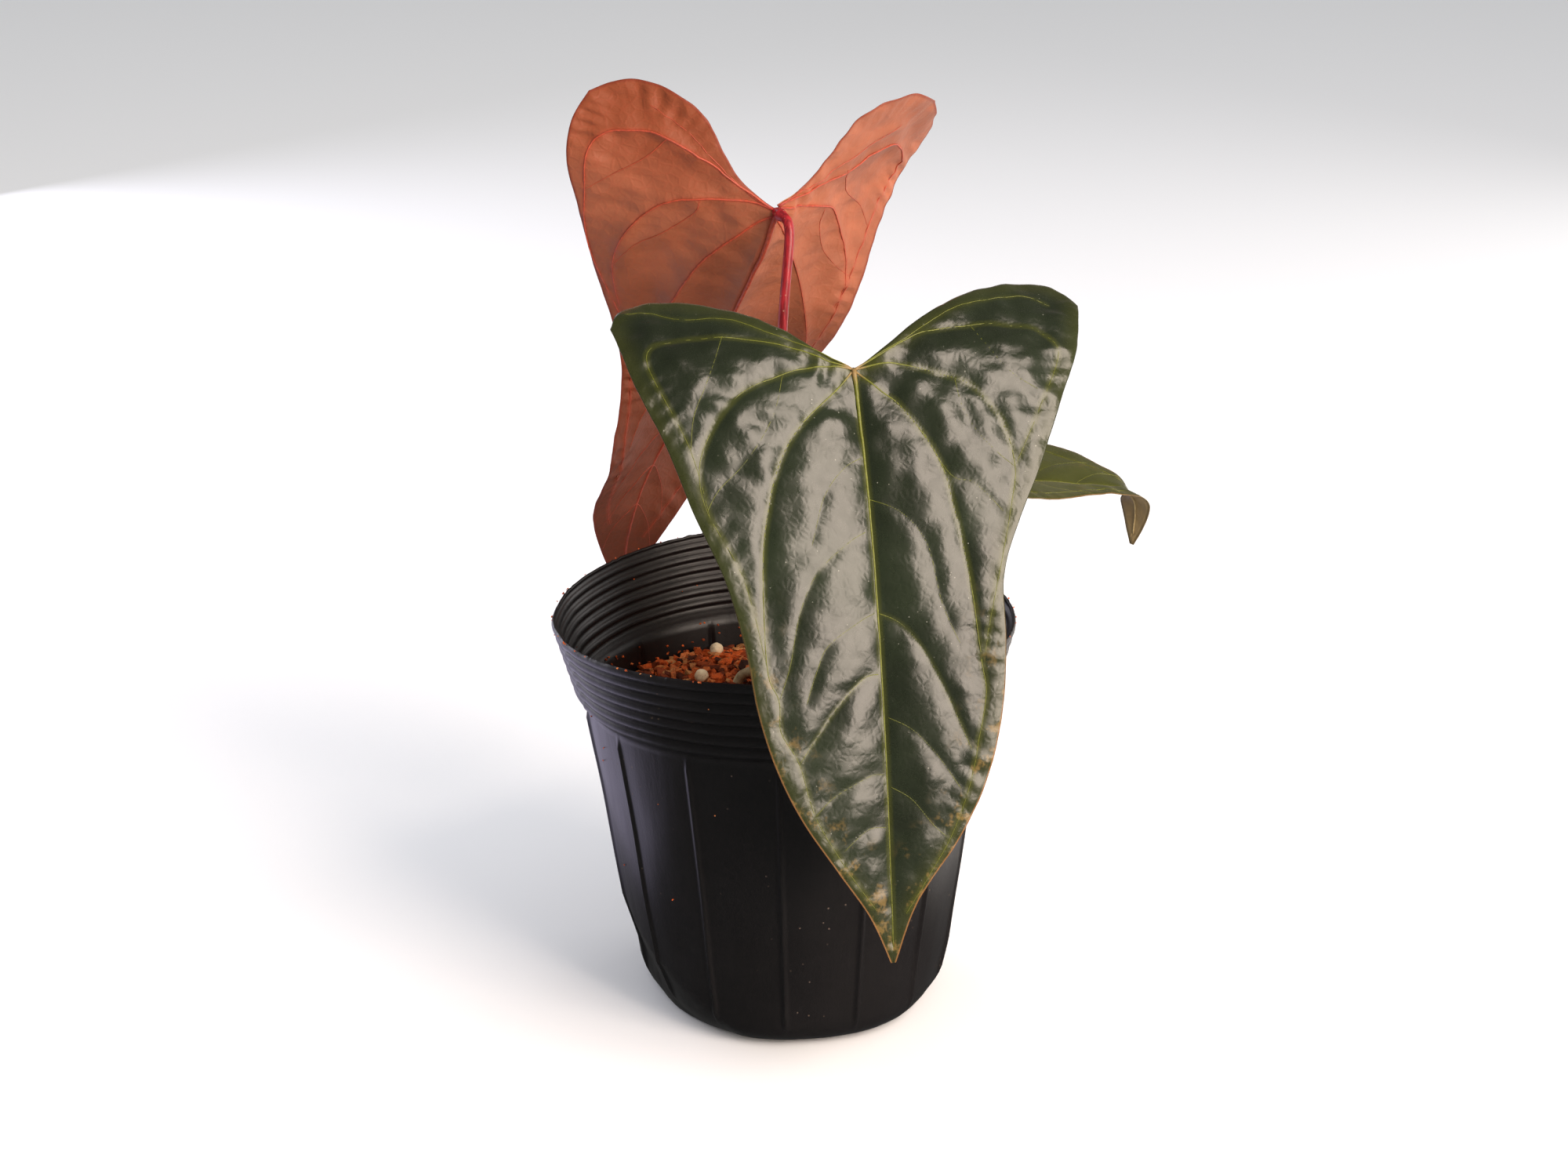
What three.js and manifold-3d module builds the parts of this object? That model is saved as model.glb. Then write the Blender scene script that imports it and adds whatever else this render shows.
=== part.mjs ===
// A young anthurium in a soft plastic nursery pot.
// Millimetres, +Z up. The origin lies on the pot's flat base, below the middle of the rim, and the
// plant leans its largest leaf out over the rim on the -Y side.

import * as THREE from 'three';
import { mergeVertices } from 'three/addons/utils/BufferGeometryUtils.js';
import Module from 'manifold-3d';

const wasm = await Module();
wasm.setup();

// ---------------------------------------------------------------- driving dimensions

// Gap kept between two pieces that touch.
const CLEARANCE = 0.3;
// Gap under a loose piece that lies on the curved mound.
const LOOSE_CLEARANCE = 1.5 * CLEARANCE;

// Pot: a tapered body with a ribbed collar, which steps out over a narrow ledge.
const POT_HEIGHT = 133;
const RIM_RADIUS = 75;
const COLLAR_HEIGHT = 26;
const COLLAR_FOOT_RADIUS = 68;
const COLLAR_RIBS = 7;
const COLLAR_RIB_DEPTH = 0.9;
const BODY_TOP_RADIUS = 65.3;
const LEDGE_DROP = 1.4;
const BASE_RADIUS = 50.4;
const BASE_FILLET = 8;
const POT_WALL = 1.0;
const FLOOR_THICKNESS = 1.4;
const BASE_SHIFT = 2.5;
const RIM_SADDLE = 2.2;
const SHELF_THICKNESS = 1;
const POT_SIDES = 48;

// Upright ribs on the pot's body.
const UPRIGHT_RIBS = 14;
const UPRIGHT_RIB_WIDTH = 1.8;
const UPRIGHT_RIB_HEIGHT = 0.8;
const UPRIGHT_RIB_MARGIN = 2;
const FIRST_RIB_ANGLE = -2;

// Drainage holes round the edge of the base.
const DRAIN_HOLES = 8;
const DRAIN_RADIUS = 4;
const DRAIN_RING_RADIUS = 34;
const DRAIN_SIDES = 12;

// Potting mix: a low mound, lower at the wall.
const MIX_DROP_AT_WALL = 37;
const MIX_DROP_AT_CENTRE = 31;
const MIX_SIDES = 36;
// Where the mound's rings lie, as shares of the way from its middle to the wall.
const MIX_RINGS = [1, 0.8, 0.6, 0.4, 0.2];

// Stem: a short upright stock that is set into the mix.
const STEM_X = 3;
const STEM_Y = 3;
const STEM_RADIUS = 6.5;
const STEM_HEIGHT = 27;
const STEM_DEPTH = 14;
const STEM_RINGS = 4;
const STEM_RING_SWELL = 0.6;
// Where a ring is thickest and thinnest, as shares of the way up it.
const STEM_RING_BULGE = 0.4;
const STEM_RING_WAIST = 0.9;
const STEM_FOOT_SHARE = 0.6;
const STEM_SIDES = 18;

// Petioles: round stalks from the top of the stem to the underside of each blade.
const PETIOLE_RADIUS = 1.65;
const PETIOLE_SIDES = 8;
const PETIOLE_SEAT_RADIUS = 3.6;
const PETIOLE_RISE = 6;
const PETIOLE_STEPS = 28;
// Where the stalk's hook starts to turn into the blade, as a share of its length.
const HOOK_TURN = 0.3;

// Blades.
const BLADE_THICKNESS = 1.0;
const BLADE_ROWS = 18;
const BLADE_COLUMNS = 6;
const TIP_HALF_WIDTH = 0.8;

// Papery sheaths round the stem.
const SHEATH_THICKNESS = 0.7;
const SHEATH_ARC = 95;
const SHEATH_TAPER = 0.92;
const SHEATH_FLARE = 1.8;
const SHEATH_FOOT_RISE = 8.5;

// Roots: thick, fleshy, from the foot of the stem into the mix.
const ROOT_RADIUS = 1.6;
const ROOT_SIDES = 6;
const ROOT_STEPS = 14;
// Each root's arch above the mix as [share of its reach, height], and its way down into the mix
// as [share of its reach, share of its depth].
const ROOT_ARCH = [[0, 5], [0.35, 5.6], [0.75, 2.5]];
const ROOT_DIVE = [0.95, 0.4];
const ROOT_TIP_REACH = 1.05;

// Loose pieces on the mix.
const BALL_RADIUS = 2.3;
const BALL_SIDES = 10;
const BALL_ROWS = 7;
// A chip's outline, as shares of its length and width.
const CHIP_OUTLINE = [[-0.5, -0.2], [-0.1, -0.5], [0.45, -0.35], [0.5, 0.25], [0, 0.5], [-0.4, 0.35]];

// ---------------------------------------------------------------- small helpers

const degrees = (angle) => THREE.MathUtils.degToRad(angle);

const material = (colour, roughness, metalness = 0) =>
  new THREE.MeshStandardMaterial({ color: colour, roughness, metalness });

const MATERIALS = {
  pot: material(0x17151a, 0.35),
  mix: material(0x6b3a1f, 0.95),
  stem: material(0x5d5a35, 0.7),
  redStalk: material(0x7a2430, 0.45),
  greenStalk: material(0x56602f, 0.5),
  darkBlade: material(0x2f3a31, 0.42),
  bronzeBlade: material(0xb0704f, 0.5),
  greenBlade: material(0x46562f, 0.45),
  sheath: material(0x8a6a45, 0.85),
  root: material(0xc9b48a, 0.75),
  ball: material(0xe6dcc2, 0.7),
  chip: material(0x5a321c, 0.9),
};

const group = new THREE.Group();

function addPiece(name, geometry, pieceMaterial) {
  const mesh = new THREE.Mesh(geometry, pieceMaterial);
  mesh.name = name;
  group.add(mesh);
  return mesh;
}

// Only the positions are kept, and shared corners become one vertex.
function welded(geometry) {
  const plain = geometry.clone();
  plain.deleteAttribute('normal');
  plain.deleteAttribute('uv');
  return mergeVertices(plain, 1e-4);
}

function toSolid(geometry) {
  const plain = welded(geometry);
  return new wasm.Manifold(new wasm.Mesh({
    numProp: 3,
    vertProperties: Float32Array.from(plain.attributes.position.array),
    triVerts: Uint32Array.from(plain.index.array),
  }));
}

function toGeometry(solid) {
  const mesh = solid.getMesh();
  const geometry = new THREE.BufferGeometry();
  geometry.setAttribute('position', new THREE.BufferAttribute(mesh.vertProperties, 3));
  geometry.setIndex(new THREE.BufferAttribute(mesh.triVerts, 1));
  geometry.computeVertexNormals();
  return geometry;
}

// Moves every vertex of a geometry to the point that place() gives for it.
function reshape(geometry, place) {
  const position = geometry.attributes.position;
  const point = new THREE.Vector3();
  for (let i = 0; i < position.count; i += 1) {
    point.fromBufferAttribute(position, i);
    const moved = place(point);
    position.setXYZ(i, moved.x, moved.y, moved.z);
  }
  geometry.computeVertexNormals();
  return geometry;
}

// A profile of [radius, z] points turned round the Z axis.
function turned(profile, sides) {
  const points = profile.map(([radius, z]) => new THREE.Vector2(radius, z));
  return new THREE.LatheGeometry(points, sides).rotateX(Math.PI / 2);
}

// A round bar along a smooth curve through the points.
function tube(points, radius, sides, steps) {
  const section = new THREE.Shape();
  section.absarc(0, 0, radius, 0, 2 * Math.PI, false);
  const path = new THREE.CatmullRomCurve3(points, false, 'centripetal');
  return new THREE.ExtrudeGeometry(section, {
    curveSegments: sides / 2,
    steps,
    bevelEnabled: false,
    extrudePath: path,
  });
}

// A smooth value at x from rows sorted on their first entry.
function smoothRow(rows, x) {
  const last = rows.length - 1;
  const at = THREE.MathUtils.clamp(x, rows[0][0], rows[last][0]);
  let k = 0;
  while (k < last - 1 && rows[k + 1][0] <= at) k += 1;
  const before = rows[Math.max(k - 1, 0)];
  const [start, end] = [rows[k], rows[k + 1]];
  const after = rows[Math.min(k + 2, last)];
  const span = end[0] - start[0];
  const u = (at - start[0]) / span;
  return start.map((value, i) => {
    const slopeIn = (end[i] - before[i]) / (end[0] - before[0]);
    const slopeOut = (after[i] - value) / (after[0] - start[0]);
    return (2 * u ** 3 - 3 * u ** 2 + 1) * value
      + (u ** 3 - 2 * u ** 2 + u) * span * slopeIn
      + (3 * u ** 2 - 2 * u ** 3) * end[i]
      + (u ** 3 - u ** 2) * span * slopeOut;
  });
}

// ---------------------------------------------------------------- pot

const COLLAR_FOOT_Z = POT_HEIGHT - COLLAR_HEIGHT;
const BODY_TOP_Z = COLLAR_FOOT_Z - LEDGE_DROP;

// Radius of the body's outside at a height below the ledge.
const bodyRadius = (z) => THREE.MathUtils.mapLinear(z, 0, BODY_TOP_Z, BASE_RADIUS, BODY_TOP_RADIUS);

// The soft pot is a little out of true: its base sits to one side of the rim's middle, and its
// rim is higher at the front and back than at the sides.
function slump(point) {
  const height = point.z / POT_HEIGHT;
  const around = Math.atan2(point.y, point.x);
  const lift = -RIM_SADDLE * Math.cos(2 * around) * Math.max(0, height) ** 4;
  const reach = Math.min(1, Math.hypot(point.x, point.y) / BODY_TOP_RADIUS);
  return new THREE.Vector3(point.x + BASE_SHIFT * (1 - height), point.y, point.z + lift * reach);
}

// Outside of the pot from the base's edge up to the lip, with the collar's ribs.
function outerProfile() {
  const profile = [[BASE_RADIUS - BASE_FILLET, 0]];
  for (const turn of [30, 60, 90]) {
    const z = BASE_FILLET * (1 - Math.cos(degrees(turn)));
    const inset = BASE_FILLET * (1 - Math.sin(degrees(turn)));
    profile.push([bodyRadius(z) - inset, z]);
  }
  profile.push([BODY_TOP_RADIUS, BODY_TOP_Z]);
  const ribPitch = COLLAR_HEIGHT / COLLAR_RIBS;
  for (let rib = 0; rib < COLLAR_RIBS; rib += 1) {
    const foot = COLLAR_FOOT_Z + rib * ribPitch;
    const radiusAt = (z) =>
      THREE.MathUtils.mapLinear(z, COLLAR_FOOT_Z, POT_HEIGHT, COLLAR_FOOT_RADIUS, RIM_RADIUS);
    profile.push([radiusAt(foot) - COLLAR_RIB_DEPTH, foot]);
    profile.push([radiusAt(foot + ribPitch / 2), foot + ribPitch / 2]);
  }
  profile.push([RIM_RADIUS, POT_HEIGHT]);
  return profile;
}

// Radius of the pot's inside at a height below the ledge.
const innerRadius = (z) => bodyRadius(z) - POT_WALL;

function innerProfile() {
  const shelfRadius = COLLAR_FOOT_RADIUS - COLLAR_RIB_DEPTH - POT_WALL;
  return [
    [RIM_RADIUS - POT_WALL, POT_HEIGHT],
    [shelfRadius, COLLAR_FOOT_Z + SHELF_THICKNESS],
    [innerRadius(BODY_TOP_Z), BODY_TOP_Z],
    [innerRadius(BASE_FILLET), BASE_FILLET],
    [BASE_RADIUS - BASE_FILLET, FLOOR_THICKNESS],
    [0, FLOOR_THICKNESS],
  ];
}

function uprightRib(angle) {
  const foot = BASE_FILLET + UPRIGHT_RIB_MARGIN;
  const length = BODY_TOP_Z - UPRIGHT_RIB_MARGIN - foot;
  const rib = new THREE.BoxGeometry(2 * UPRIGHT_RIB_HEIGHT, UPRIGHT_RIB_WIDTH, length);
  const lean = Math.atan2(BODY_TOP_RADIUS - BASE_RADIUS, BODY_TOP_Z);
  const middle = foot + length / 2;
  rib.rotateY(lean);
  rib.translate(bodyRadius(middle), 0, middle);
  return rib.rotateZ(angle);
}

function makePot() {
  const shell = turned([[0, 0], ...outerProfile(), ...innerProfile()], POT_SIDES);
  let solid = toSolid(shell);
  for (let i = 0; i < UPRIGHT_RIBS; i += 1) {
    const angle = degrees(FIRST_RIB_ANGLE - 90 + i * 360 / UPRIGHT_RIBS);
    solid = solid.add(toSolid(uprightRib(angle)));
  }
  for (let i = 0; i < DRAIN_HOLES; i += 1) {
    const angle = 2 * Math.PI * (i + 0.5) / DRAIN_HOLES;
    const hole = new THREE.CylinderGeometry(DRAIN_RADIUS, DRAIN_RADIUS, 4 * FLOOR_THICKNESS, DRAIN_SIDES);
    hole.rotateX(Math.PI / 2);
    hole.translate(DRAIN_RING_RADIUS * Math.cos(angle), DRAIN_RING_RADIUS * Math.sin(angle), 0);
    solid = solid.subtract(toSolid(hole));
  }
  return reshape(toGeometry(solid), slump);
}

// ---------------------------------------------------------------- potting mix and stem

const MIX_EDGE_Z = POT_HEIGHT - MIX_DROP_AT_WALL;
const MIX_EDGE_RADIUS = innerRadius(MIX_EDGE_Z) - 2 * CLEARANCE;
const MIX_CROWN_Z = POT_HEIGHT - MIX_DROP_AT_CENTRE;

// Height of the mound at a distance from the pot's axis.
const moundZ = (distance) =>
  MIX_CROWN_Z - (MIX_CROWN_Z - MIX_EDGE_Z) * Math.min(1, distance / MIX_EDGE_RADIUS) ** 2;

const axisX = (z) => BASE_SHIFT * (1 - z / POT_HEIGHT);

// A point on the mound at an angle and a distance from the pot's axis.
function onMound(angle, distance) {
  const z = moundZ(distance);
  return new THREE.Vector3(
    distance * Math.cos(degrees(angle)) + axisX(z),
    distance * Math.sin(degrees(angle)),
    z,
  );
}

function makeMixBody() {
  const profile = [[0, FLOOR_THICKNESS + CLEARANCE]];
  const slack = 2 * CLEARANCE;
  profile.push([BASE_RADIUS - BASE_FILLET - slack, FLOOR_THICKNESS + CLEARANCE]);
  profile.push([innerRadius(BASE_FILLET) - slack, BASE_FILLET + CLEARANCE]);
  for (const share of MIX_RINGS) {
    profile.push([share * MIX_EDGE_RADIUS, moundZ(share * MIX_EDGE_RADIUS)]);
  }
  profile.push([0, MIX_CROWN_Z]);
  const body = turned(profile, MIX_SIDES);
  return reshape(body, (point) => new THREE.Vector3(point.x + axisX(point.z), point.y, point.z));
}

const STEM_FOOT_Z = moundZ(Math.hypot(STEM_X, STEM_Y)) - STEM_DEPTH;
const STEM_TOP_Z = STEM_FOOT_Z + STEM_DEPTH + STEM_HEIGHT;

// The stem, or with extra the slightly larger socket that it stands in.
function makeStem(extra) {
  const profile = [[0, STEM_FOOT_Z - extra]];
  profile.push([STEM_RADIUS * STEM_FOOT_SHARE + extra, STEM_FOOT_Z - extra]);
  profile.push([STEM_RADIUS + extra, STEM_FOOT_Z + STEM_DEPTH]);
  const ringPitch = STEM_HEIGHT / STEM_RINGS;
  for (let ring = 0; ring < STEM_RINGS; ring += 1) {
    const foot = STEM_FOOT_Z + STEM_DEPTH + ring * ringPitch;
    profile.push([STEM_RADIUS + STEM_RING_SWELL + extra, foot + ringPitch * STEM_RING_BULGE]);
    profile.push([STEM_RADIUS - STEM_RING_SWELL + extra, foot + ringPitch * STEM_RING_WAIST]);
  }
  profile.push([STEM_RADIUS - STEM_RING_SWELL + extra, STEM_TOP_Z]);
  profile.push([0, STEM_TOP_Z]);
  return turned(profile, STEM_SIDES).translate(STEM_X, STEM_Y, 0);
}

// ---------------------------------------------------------------- roots and sheaths

const ROOTS = [
  { angle: 160, reach: 15, depth: 22 },
  { angle: 215, reach: 12, depth: 26 },
  { angle: 300, reach: 14, depth: 24 },
  { angle: 50, reach: 13, depth: 20 },
];

function rootPath({ angle, reach, depth }, extra) {
  const out = new THREE.Vector3(Math.cos(degrees(angle)), Math.sin(degrees(angle)), 0);
  const start = STEM_RADIUS + STEM_RING_SWELL + CLEARANCE;
  const ground = STEM_FOOT_Z + STEM_DEPTH;
  const dive = [ROOT_DIVE[0], -ROOT_DIVE[1] * depth];
  return [...ROOT_ARCH, dive, [ROOT_TIP_REACH, -depth - extra]].map(
    ([share, rise]) => new THREE.Vector3(STEM_X, STEM_Y, ground + rise)
      .addScaledVector(out, start + share * reach),
  );
}

// A root, or with extra the slightly larger channel that it lies in.
const makeRoot = (root, extra) =>
  tube(rootPath(root, extra), ROOT_RADIUS + extra, ROOT_SIDES, ROOT_STEPS);

const SHEATHS = [
  { angle: 115, height: 21 },
  { angle: 245, height: 19 },
  { angle: 0, height: 17 },
];

// A thin scale wrapped round the stem that narrows to a point as it rises.
function makeSheath({ angle, height }) {
  const flat = new THREE.BoxGeometry(1, SHEATH_THICKNESS, height, 6, 1, 5);
  const foot = STEM_FOOT_Z + STEM_DEPTH + SHEATH_FOOT_RISE;
  return reshape(flat, (point) => {
    const rise = point.z / height + 0.5;
    const halfArc = degrees(SHEATH_ARC / 2) * (1 - SHEATH_TAPER * rise ** 1.5);
    const turn = degrees(angle) - 2 * point.x * halfArc;
    const inner = STEM_RADIUS + STEM_RING_SWELL + CLEARANCE + SHEATH_THICKNESS / 2;
    const radius = inner + point.y + SHEATH_FLARE * rise ** 2;
    return new THREE.Vector3(
      STEM_X + radius * Math.cos(turn),
      STEM_Y + radius * Math.sin(turn),
      foot + rise * height,
    );
  });
}

// ---------------------------------------------------------------- leaves

// Each blade is described flat, and then bent.
// Flat: s runs down the midrib from the place where the stalk joins (0) to the tip, and is
// negative on the two lobes above it; t is the distance from the midrib.
// Bends: [s, dip, heading, roll, left fold, left curl, right fold, right curl]. Dip is the
// midrib's angle below level, heading turns it from -Y towards +X, a fold lifts one half from
// the midrib, and a curl bends it further for each 10 mm. Angles are in degrees.

const LEAVES = {
  front: {
    joint: [20.5, -(RIM_RADIUS - 30), POT_HEIGHT + 91],
    length: 179,
    sinus: {
      left: [[0, 0], [-6, 10], [-15, 21], [-25, 39], [-30, 56], [-28, 66], [-21, 70]],
      right: [[0, 0], [-6, 10], [-16, 24], [-26, 43], [-30, 62], [-27, 71], [-20, 75]],
    },
    margin: {
      left: [[-21, 70], [0, 66], [20, 59], [40, 53], [60, 45.5], [80, 41], [99, 38.5],
        [116, 34], [132, 27], [149, 16.5], [164, 7]],
      right: [[-20, 75], [-3, 70.5], [14, 62], [33, 53], [50, 44], [65, 38.5], [84, 38],
        [104, 36], [124, 30.5], [142, 21], [160, 8]],
    },
    bends: [
      [-60, 5, 13, 0, 0, -2, 0, -2],
      [-25, 32, 13, 0, 4, -2, 4, -2],
      [0, 52, 13, 0, 8, -2.5, 8, -2.5],
      [60, 70, 13, 0, 8, -2.5, 8, -2.5],
      [120, 78, 14, 0, 8, -3, 8, -3],
      [185, 84, 12, 0, 6, -3, 6, -3],
    ],
    stalk: [[0.15, 0.05, 0.3], [0.55, 0.42, 0.68]],
    hook: 14,
    seatAngle: -60,
  },
  back: {
    joint: [-2.5, RIM_RADIUS - 50, POT_HEIGHT + 124],
    length: 190,
    sinus: {
      left: [[0, 0], [-6, 12], [-16, 19], [-27, 26], [-31, 37], [-31, 48], [-25, 61]],
      right: [[0, 0], [-5, 12], [-14, 21], [-25, 30], [-31, 43], [-30, 57], [-22, 67]],
    },
    margin: {
      left: [[-25, 61], [-10, 73], [6, 67], [20, 57], [38, 49], [60, 43], [82, 39],
        [104, 36], [126, 29], [148, 20.5], [170, 9.5]],
      right: [[-22, 67], [-8, 69.5], [8, 67], [25, 58], [42, 48], [61, 37], [81, 30],
        [98, 30], [115, 33], [136, 27], [163, 12]],
    },
    bends: [
      [-60, 74, 174, 10, 33, 0, 17, 0],
      [0, 64, 223, 10, 19, 0, 36, 0],
      [65, 45, 200, 3, 2, 0, 13, 0],
      [125, 59, 235, 3, -15, 0, -10, 0],
      [195, 84, 176, -5, -19, 0, 4, 0],
    ],
    stalk: [[-0.4, 0.32, 0.49], [0.2, 0.65, 0.83]],
    hook: 9,
    seatAngle: 175,
  },
  side: {
    joint: [31, 27, POT_HEIGHT + 46],
    length: 103,
    sinus: {
      left: [[0, 0], [-4, 7], [-10, 16], [-16, 26], [-19, 35], [-17, 42], [-12, 45]],
      right: [[0, 0], [-4, 7], [-10, 16], [-18, 26], [-22, 36], [-20, 44], [-13, 47]],
    },
    margin: {
      left: [[-12, 45], [0, 42], [12, 37], [24, 32], [37, 28], [49, 26.5], [59, 23.5],
        [67, 18], [75, 13], [84, 9], [93, 5]],
      right: [[-13, 47], [0, 43], [12, 38], [24, 33], [37, 29], [48, 28], [58, 27],
        [67, 23], [75, 15], [84, 10], [94, 5]],
    },
    bends: [
      [-45, 45, 95, 0, 10, 0, 20, 0],
      [0, 18, 92, 0, 8, -2, 12, -2],
      [30, 13, 90, 0, 8, -3, 12, -3],
      [57, 4, 88, 0, 6, -3, 12, -3],
      [75, 6, 86, 0, 5, -4, 6, -4],
      [83, 30, 84, -8, 0, -2, 0, -2],
      [89, 84, 84, -42, 0, -2, 0, -2],
      [106, 98, 84, -55, 0, -2, 0, -2],
    ],
    stalk: [[0.1, 0.1, 0.4], [0.6, 0.6, 0.75]],
    hook: 10,
    seatAngle: 60,
  },
};

// The frame of the bent midrib at s: where it is, and which way its side and face point.
function midribFrame(bends, s) {
  const [, dip, heading, roll] = smoothRow(bends, s);
  const along = new THREE.Vector3(
    Math.sin(degrees(heading)) * Math.cos(degrees(dip)),
    -Math.cos(degrees(heading)) * Math.cos(degrees(dip)),
    -Math.sin(degrees(dip)),
  );
  const side = new THREE.Vector3(Math.cos(degrees(heading)), Math.sin(degrees(heading)), 0);
  side.applyAxisAngle(along, degrees(roll));
  const face = new THREE.Vector3().crossVectors(along, side);
  return { along, side, face };
}

// Walks the midrib in short steps from the joint to s.
function midribPoint(leaf, s) {
  const steps = Math.max(1, Math.ceil(Math.abs(s) / 2));
  const point = new THREE.Vector3(...leaf.joint);
  for (let i = 0; i < steps; i += 1) {
    const { along } = midribFrame(leaf.bends, s * (i + 0.5) / steps);
    point.addScaledVector(along, s / steps);
  }
  return point;
}

// The bent surface at flat place (s, t), moved off along the blade's own face.
function bladePoint(leaf, s, t, offset) {
  const { side, face } = midribFrame(leaf.bends, s);
  const row = smoothRow(leaf.bends, s);
  const [fold, curl] = t < 0 ? [row[4], row[5]] : [row[6], row[7]];
  const start = degrees(fold);
  const perMm = Math.abs(curl) < 1e-3 ? 1e-5 : degrees(curl) / 10;
  const end = start + perMm * Math.abs(t);
  const out = Math.sign(t) * (Math.sin(end) - Math.sin(start)) / perMm;
  const up = (Math.cos(start) - Math.cos(end)) / perMm;
  return midribPoint(leaf, s)
    .addScaledVector(side, out - Math.sign(t) * offset * Math.sin(end))
    .addScaledVector(face, up + offset * Math.cos(end));
}

const flatCurve = (points) =>
  new THREE.SplineCurve(points.map(([s, t]) => new THREE.Vector2(s, t)));

// The outline of one half: a curve along the notch and one down the margin to the tip.
function halfOutline(leaf, half) {
  const notch = flatCurve(leaf.sinus[half]);
  const edge = flatCurve([...leaf.margin[half], [leaf.length, TIP_HALF_WIDTH]]);
  return { notch, edge, corner: notch.getPoint(1) };
}

// One flat box is shaped into the blade: its columns fan out from the notch between the lobes
// to the tip, and its rows run from the midrib to the margin.
function makeBlade(leaf) {
  const halves = { left: halfOutline(leaf, 'left'), right: halfOutline(leaf, 'right') };
  const box = new THREE.BoxGeometry(2, 1, 1, 2 * BLADE_COLUMNS, BLADE_ROWS, 1);
  return reshape(box, (point) => {
    const { notch, edge, corner } = point.x < 0 ? halves.left : halves.right;
    const across = Math.min(1, Math.abs(point.x));
    const down = THREE.MathUtils.clamp(0.5 - point.y, 0, 1);
    const rim = edge.getPoint(down);
    const top = notch.getPoint(across);
    const fade = (1 - down) ** 2;
    const s = leaf.length * down * (1 - across) + rim.x * across + (top.x - corner.x * across) * fade;
    const t = rim.y * across + (top.y - corner.y * across) * fade;
    return bladePoint(leaf, s, Math.sign(point.x) * t, point.z * BLADE_THICKNESS);
  });
}

// The stalk rises from its seat on the stem and turns into the back of the blade.
function makePetiole(leaf) {
  const { face } = midribFrame(leaf.bends, 0);
  const joint = new THREE.Vector3(...leaf.joint);
  const seat = new THREE.Vector3(
    STEM_X + PETIOLE_SEAT_RADIUS * Math.cos(degrees(leaf.seatAngle)),
    STEM_Y + PETIOLE_SEAT_RADIUS * Math.sin(degrees(leaf.seatAngle)),
    STEM_TOP_Z + CLEARANCE,
  );
  const end = joint.clone().addScaledVector(face, -(BLADE_THICKNESS / 2 + CLEARANCE));
  const bend = end.clone().addScaledVector(face, -leaf.hook);
  const middle = leaf.stalk.map(([x, y, z]) => new THREE.Vector3(
    THREE.MathUtils.lerp(seat.x, bend.x, x),
    THREE.MathUtils.lerp(seat.y, bend.y, y),
    THREE.MathUtils.lerp(seat.z, bend.z, z),
  ));
  const points = [seat, seat.clone().setZ(seat.z + PETIOLE_RISE), ...middle, bend,
    end.clone().addScaledVector(face, -HOOK_TURN * leaf.hook), end];
  return tube(points, PETIOLE_RADIUS, PETIOLE_SIDES, PETIOLE_STEPS);
}

// ---------------------------------------------------------------- loose pieces on the mix

const BALLS = [
  { angle: 118, distance: 50 },
  { angle: 153, distance: 31 },
  { angle: 262, distance: 24 },
  { angle: 318, distance: 31 },
  { angle: 12, distance: 34 },
  { angle: 75, distance: 34 },
  { angle: 200, distance: 45 },
];

const CHIPS = [
  { angle: 200, distance: 31, turn: 20, size: [7, 4, 2.4] },
  { angle: 232, distance: 27, turn: 75, size: [8, 4.5, 2.6] },
  { angle: 247, distance: 39, turn: 140, size: [6, 3.6, 2.2] },
  { angle: 282, distance: 34, turn: 35, size: [9, 5, 3] },
  { angle: 345, distance: 28, turn: 100, size: [7, 4.2, 2.6] },
  { angle: 35, distance: 38, turn: 10, size: [8, 4, 2.4] },
  { angle: 98, distance: 40, turn: 60, size: [7, 5, 2.8] },
  { angle: 150, distance: 26, turn: 125, size: [6, 4, 2.4] },
  { angle: 168, distance: 41, turn: 165, size: [8, 4.6, 2.6] },
];

const moundSlope = (distance) => Math.atan2(
  2 * (MIX_CROWN_Z - MIX_EDGE_Z) * distance,
  MIX_EDGE_RADIUS ** 2,
);

// Turns a piece made on a level place so that it lies on the slope of the mound.
function layOnMound(geometry, angle, distance) {
  const seat = onMound(angle, distance);
  geometry.rotateZ(-degrees(angle));
  geometry.rotateY(moundSlope(distance));
  geometry.rotateZ(degrees(angle));
  return geometry.translate(seat.x, seat.y, seat.z);
}

function makeBall({ angle, distance }) {
  const ball = new THREE.SphereGeometry(BALL_RADIUS, BALL_SIDES, BALL_ROWS);
  ball.rotateX(Math.PI / 2);
  ball.translate(0, 0, BALL_RADIUS + LOOSE_CLEARANCE);
  return layOnMound(ball, angle, distance);
}

function makeChip({ angle, distance, turn, size: [length, width, height] }) {
  const outline = new THREE.Shape(
    CHIP_OUTLINE.map(([x, y]) => new THREE.Vector2(x * length, y * width)),
  );
  const chip = new THREE.ExtrudeGeometry(outline, { depth: height, bevelEnabled: false, steps: 1 });
  chip.rotateZ(degrees(turn));
  chip.translate(0, 0, LOOSE_CLEARANCE);
  return layOnMound(chip, angle, distance);
}

// ---------------------------------------------------------------- assembly

function makeMix() {
  let solid = toSolid(makeMixBody()).subtract(toSolid(makeStem(CLEARANCE)));
  for (const root of ROOTS) {
    solid = solid.subtract(toSolid(makeRoot(root, CLEARANCE)));
  }
  return toGeometry(solid);
}

addPiece('pot', makePot(), MATERIALS.pot);
addPiece('potting_mix', makeMix(), MATERIALS.mix);
addPiece('stem', makeStem(0), MATERIALS.stem);

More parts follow.
